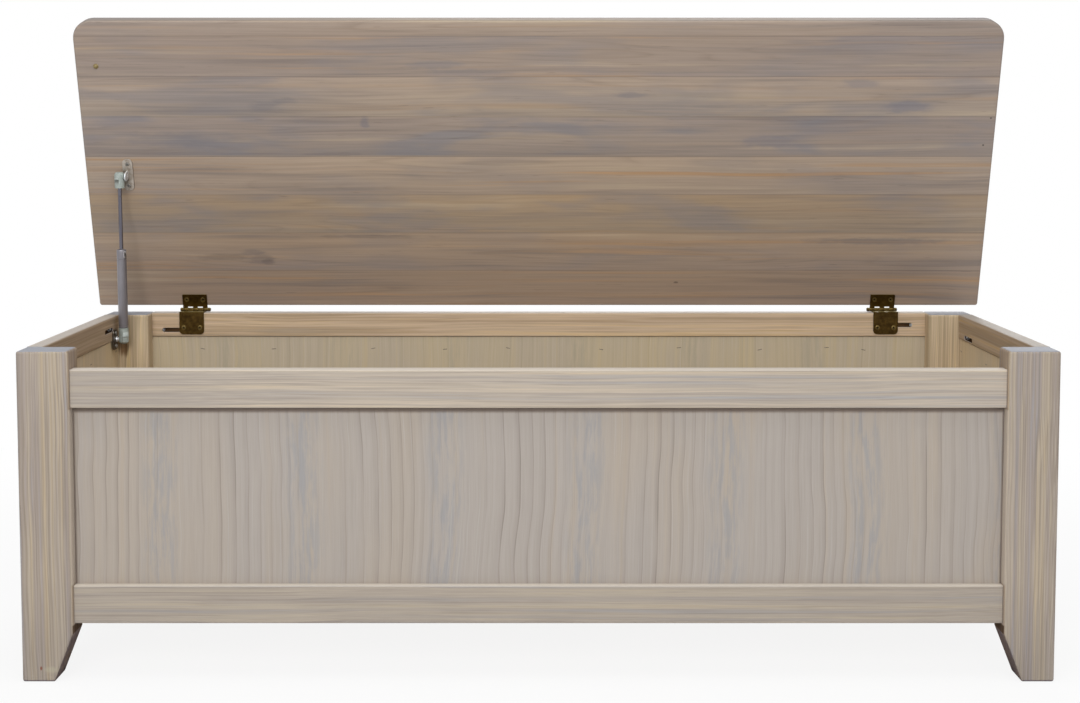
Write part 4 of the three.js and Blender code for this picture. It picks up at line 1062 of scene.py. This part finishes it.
def add_pieces(finishes):
    finishes = finishes | {
        "screw": zinc("screw_zinc", "#e3e5e7", "#c9ccd0", 0.2, 0.5),
        "dull_screw": zinc("screw_dull", "#8f8a82", "#7a746c", 0.3, 0.7),
        "bronze_screw": bronze("screw_bronze", "#665532", "#5a4828", "#74623c"),
        "bronze_shadow": bronze("screw_recess", "#1d150a", "#171008", "#231a0d"),
        "lid_plate": zinc("lid_bracket_zinc", "#b3aaa0", "#968a7d", 0.28, 0.8),
        # The side bracket's brown is a painted reflection of the wood around it
        "side_plate": zinc("side_bracket_zinc_painted_reflection", "#6d6257", "#574d43", 0.28, 0.9),
        "dark": nylon("socket_shadow", "#4d4a46", "#3f3b37", "#6a6763"),
        "staple": zinc("staple_wire", "#6d6257", "#5b5148", 0.4, 0.6),
    }
    place_screws(finishes)
    place_strut(finishes)
    place_sockets(finishes)
    place_bumper(finishes)
    place_metal(finishes)
    place_staples(finishes)


# Studio

WHITE = (1.0, 1.0, 1.0, 1.0)
FLOOR_DROP = 0.0005


def studio_white(p):
    """1 for what the camera, gloss and glass see, and 0 for all other light."""
    path = p.add("LightPath").outputs
    seen = p.math("MAXIMUM", path["Is Camera Ray"], path["Is Glossy Ray"])
    return p.math("MAXIMUM", seen, path["Is Transmission Ray"])


def set_world():
    p = Pattern("studio", bpy.data.worlds)
    bpy.context.scene.world = p.owner
    light = p.tree.nodes["Background"]
    p.put(light.inputs["Color"], (0.96, 0.98, 1.0, 1.0))
    p.put(light.inputs["Strength"], 0.32)
    white = p.add("Background", {"Color": WHITE, "Strength": 1.0})
    mix = p.add("MixShader", (studio_white(p), light.outputs[0], white.outputs[0])).outputs[0]
    p.put(p.tree.nodes["World Output"].inputs["Surface"], mix)


def set_floor():
    mesh = bpy.data.meshes.new("studio_floor")
    shape = bmesh.new()
    bmesh.ops.create_grid(shape, x_segments=1, y_segments=1, size=15.0)
    shape.to_mesh(mesh)
    shape.free()
    floor = bpy.data.objects.new("studio_floor", mesh)
    bpy.context.collection.objects.link(floor)
    floor.location.z = -FLOOR_DROP
    p = Pattern("floor_white")
    p.finish((0.86, 0.86, 0.86, 1.0), 0.9, Specular_IOR_Level=0.0)
    glow = p.add("Emission", {"Color": WHITE, "Strength": 1.0}).outputs[0]
    distance = p.add("VectorMath", (p.place,), operation="LENGTH").outputs["Value"]
    far = p.between(distance, 0.8, 1.8, 0.88, 1.0)
    mix = p.add("MixShader", (p.times(studio_white(p), far), p.shader.outputs[0], glow)).outputs[0]
    p.put(p.tree.nodes["Material Output"].inputs["Surface"], mix)
    floor.data.materials.append(p.owner)


def set_lamp(name, place, target, size, power):
    data = bpy.data.lights.new(name, "AREA")
    data.shape = "RECTANGLE"
    data.size, data.size_y = size
    data.energy = power
    lamp = bpy.data.objects.new(name, data)
    lamp.location = place
    lamp.rotation_euler = (Vector(target) - Vector(place)).to_track_quat("-Z", "Y").to_euler()
    bpy.context.collection.objects.link(lamp)


def set_lamps():
    set_lamp("front_softbox", (-0.9, -3.2, 1.9), (0, 0, 0.45), (2.0, 1.4), 50.5)
    set_lamp("side_softbox", (1.1, -3.2, 1.8), (0, 0, 0.45), (1.8, 1.4), 19)
    set_lamp("top_softbox", (0, -0.7, 3.0), (0, 0, 0.3), (2.4, 1.4), 32)
    set_lamp("rear_softbox", (0.6, 3.4, 1.8), (0, 0, 0.5), (2.4, 1.8), 52)


set_camera()
add_pieces(dress_chest())
set_world()
set_floor()
set_lamps()
bpy.context.scene.view_settings.view_transform = "Standard"
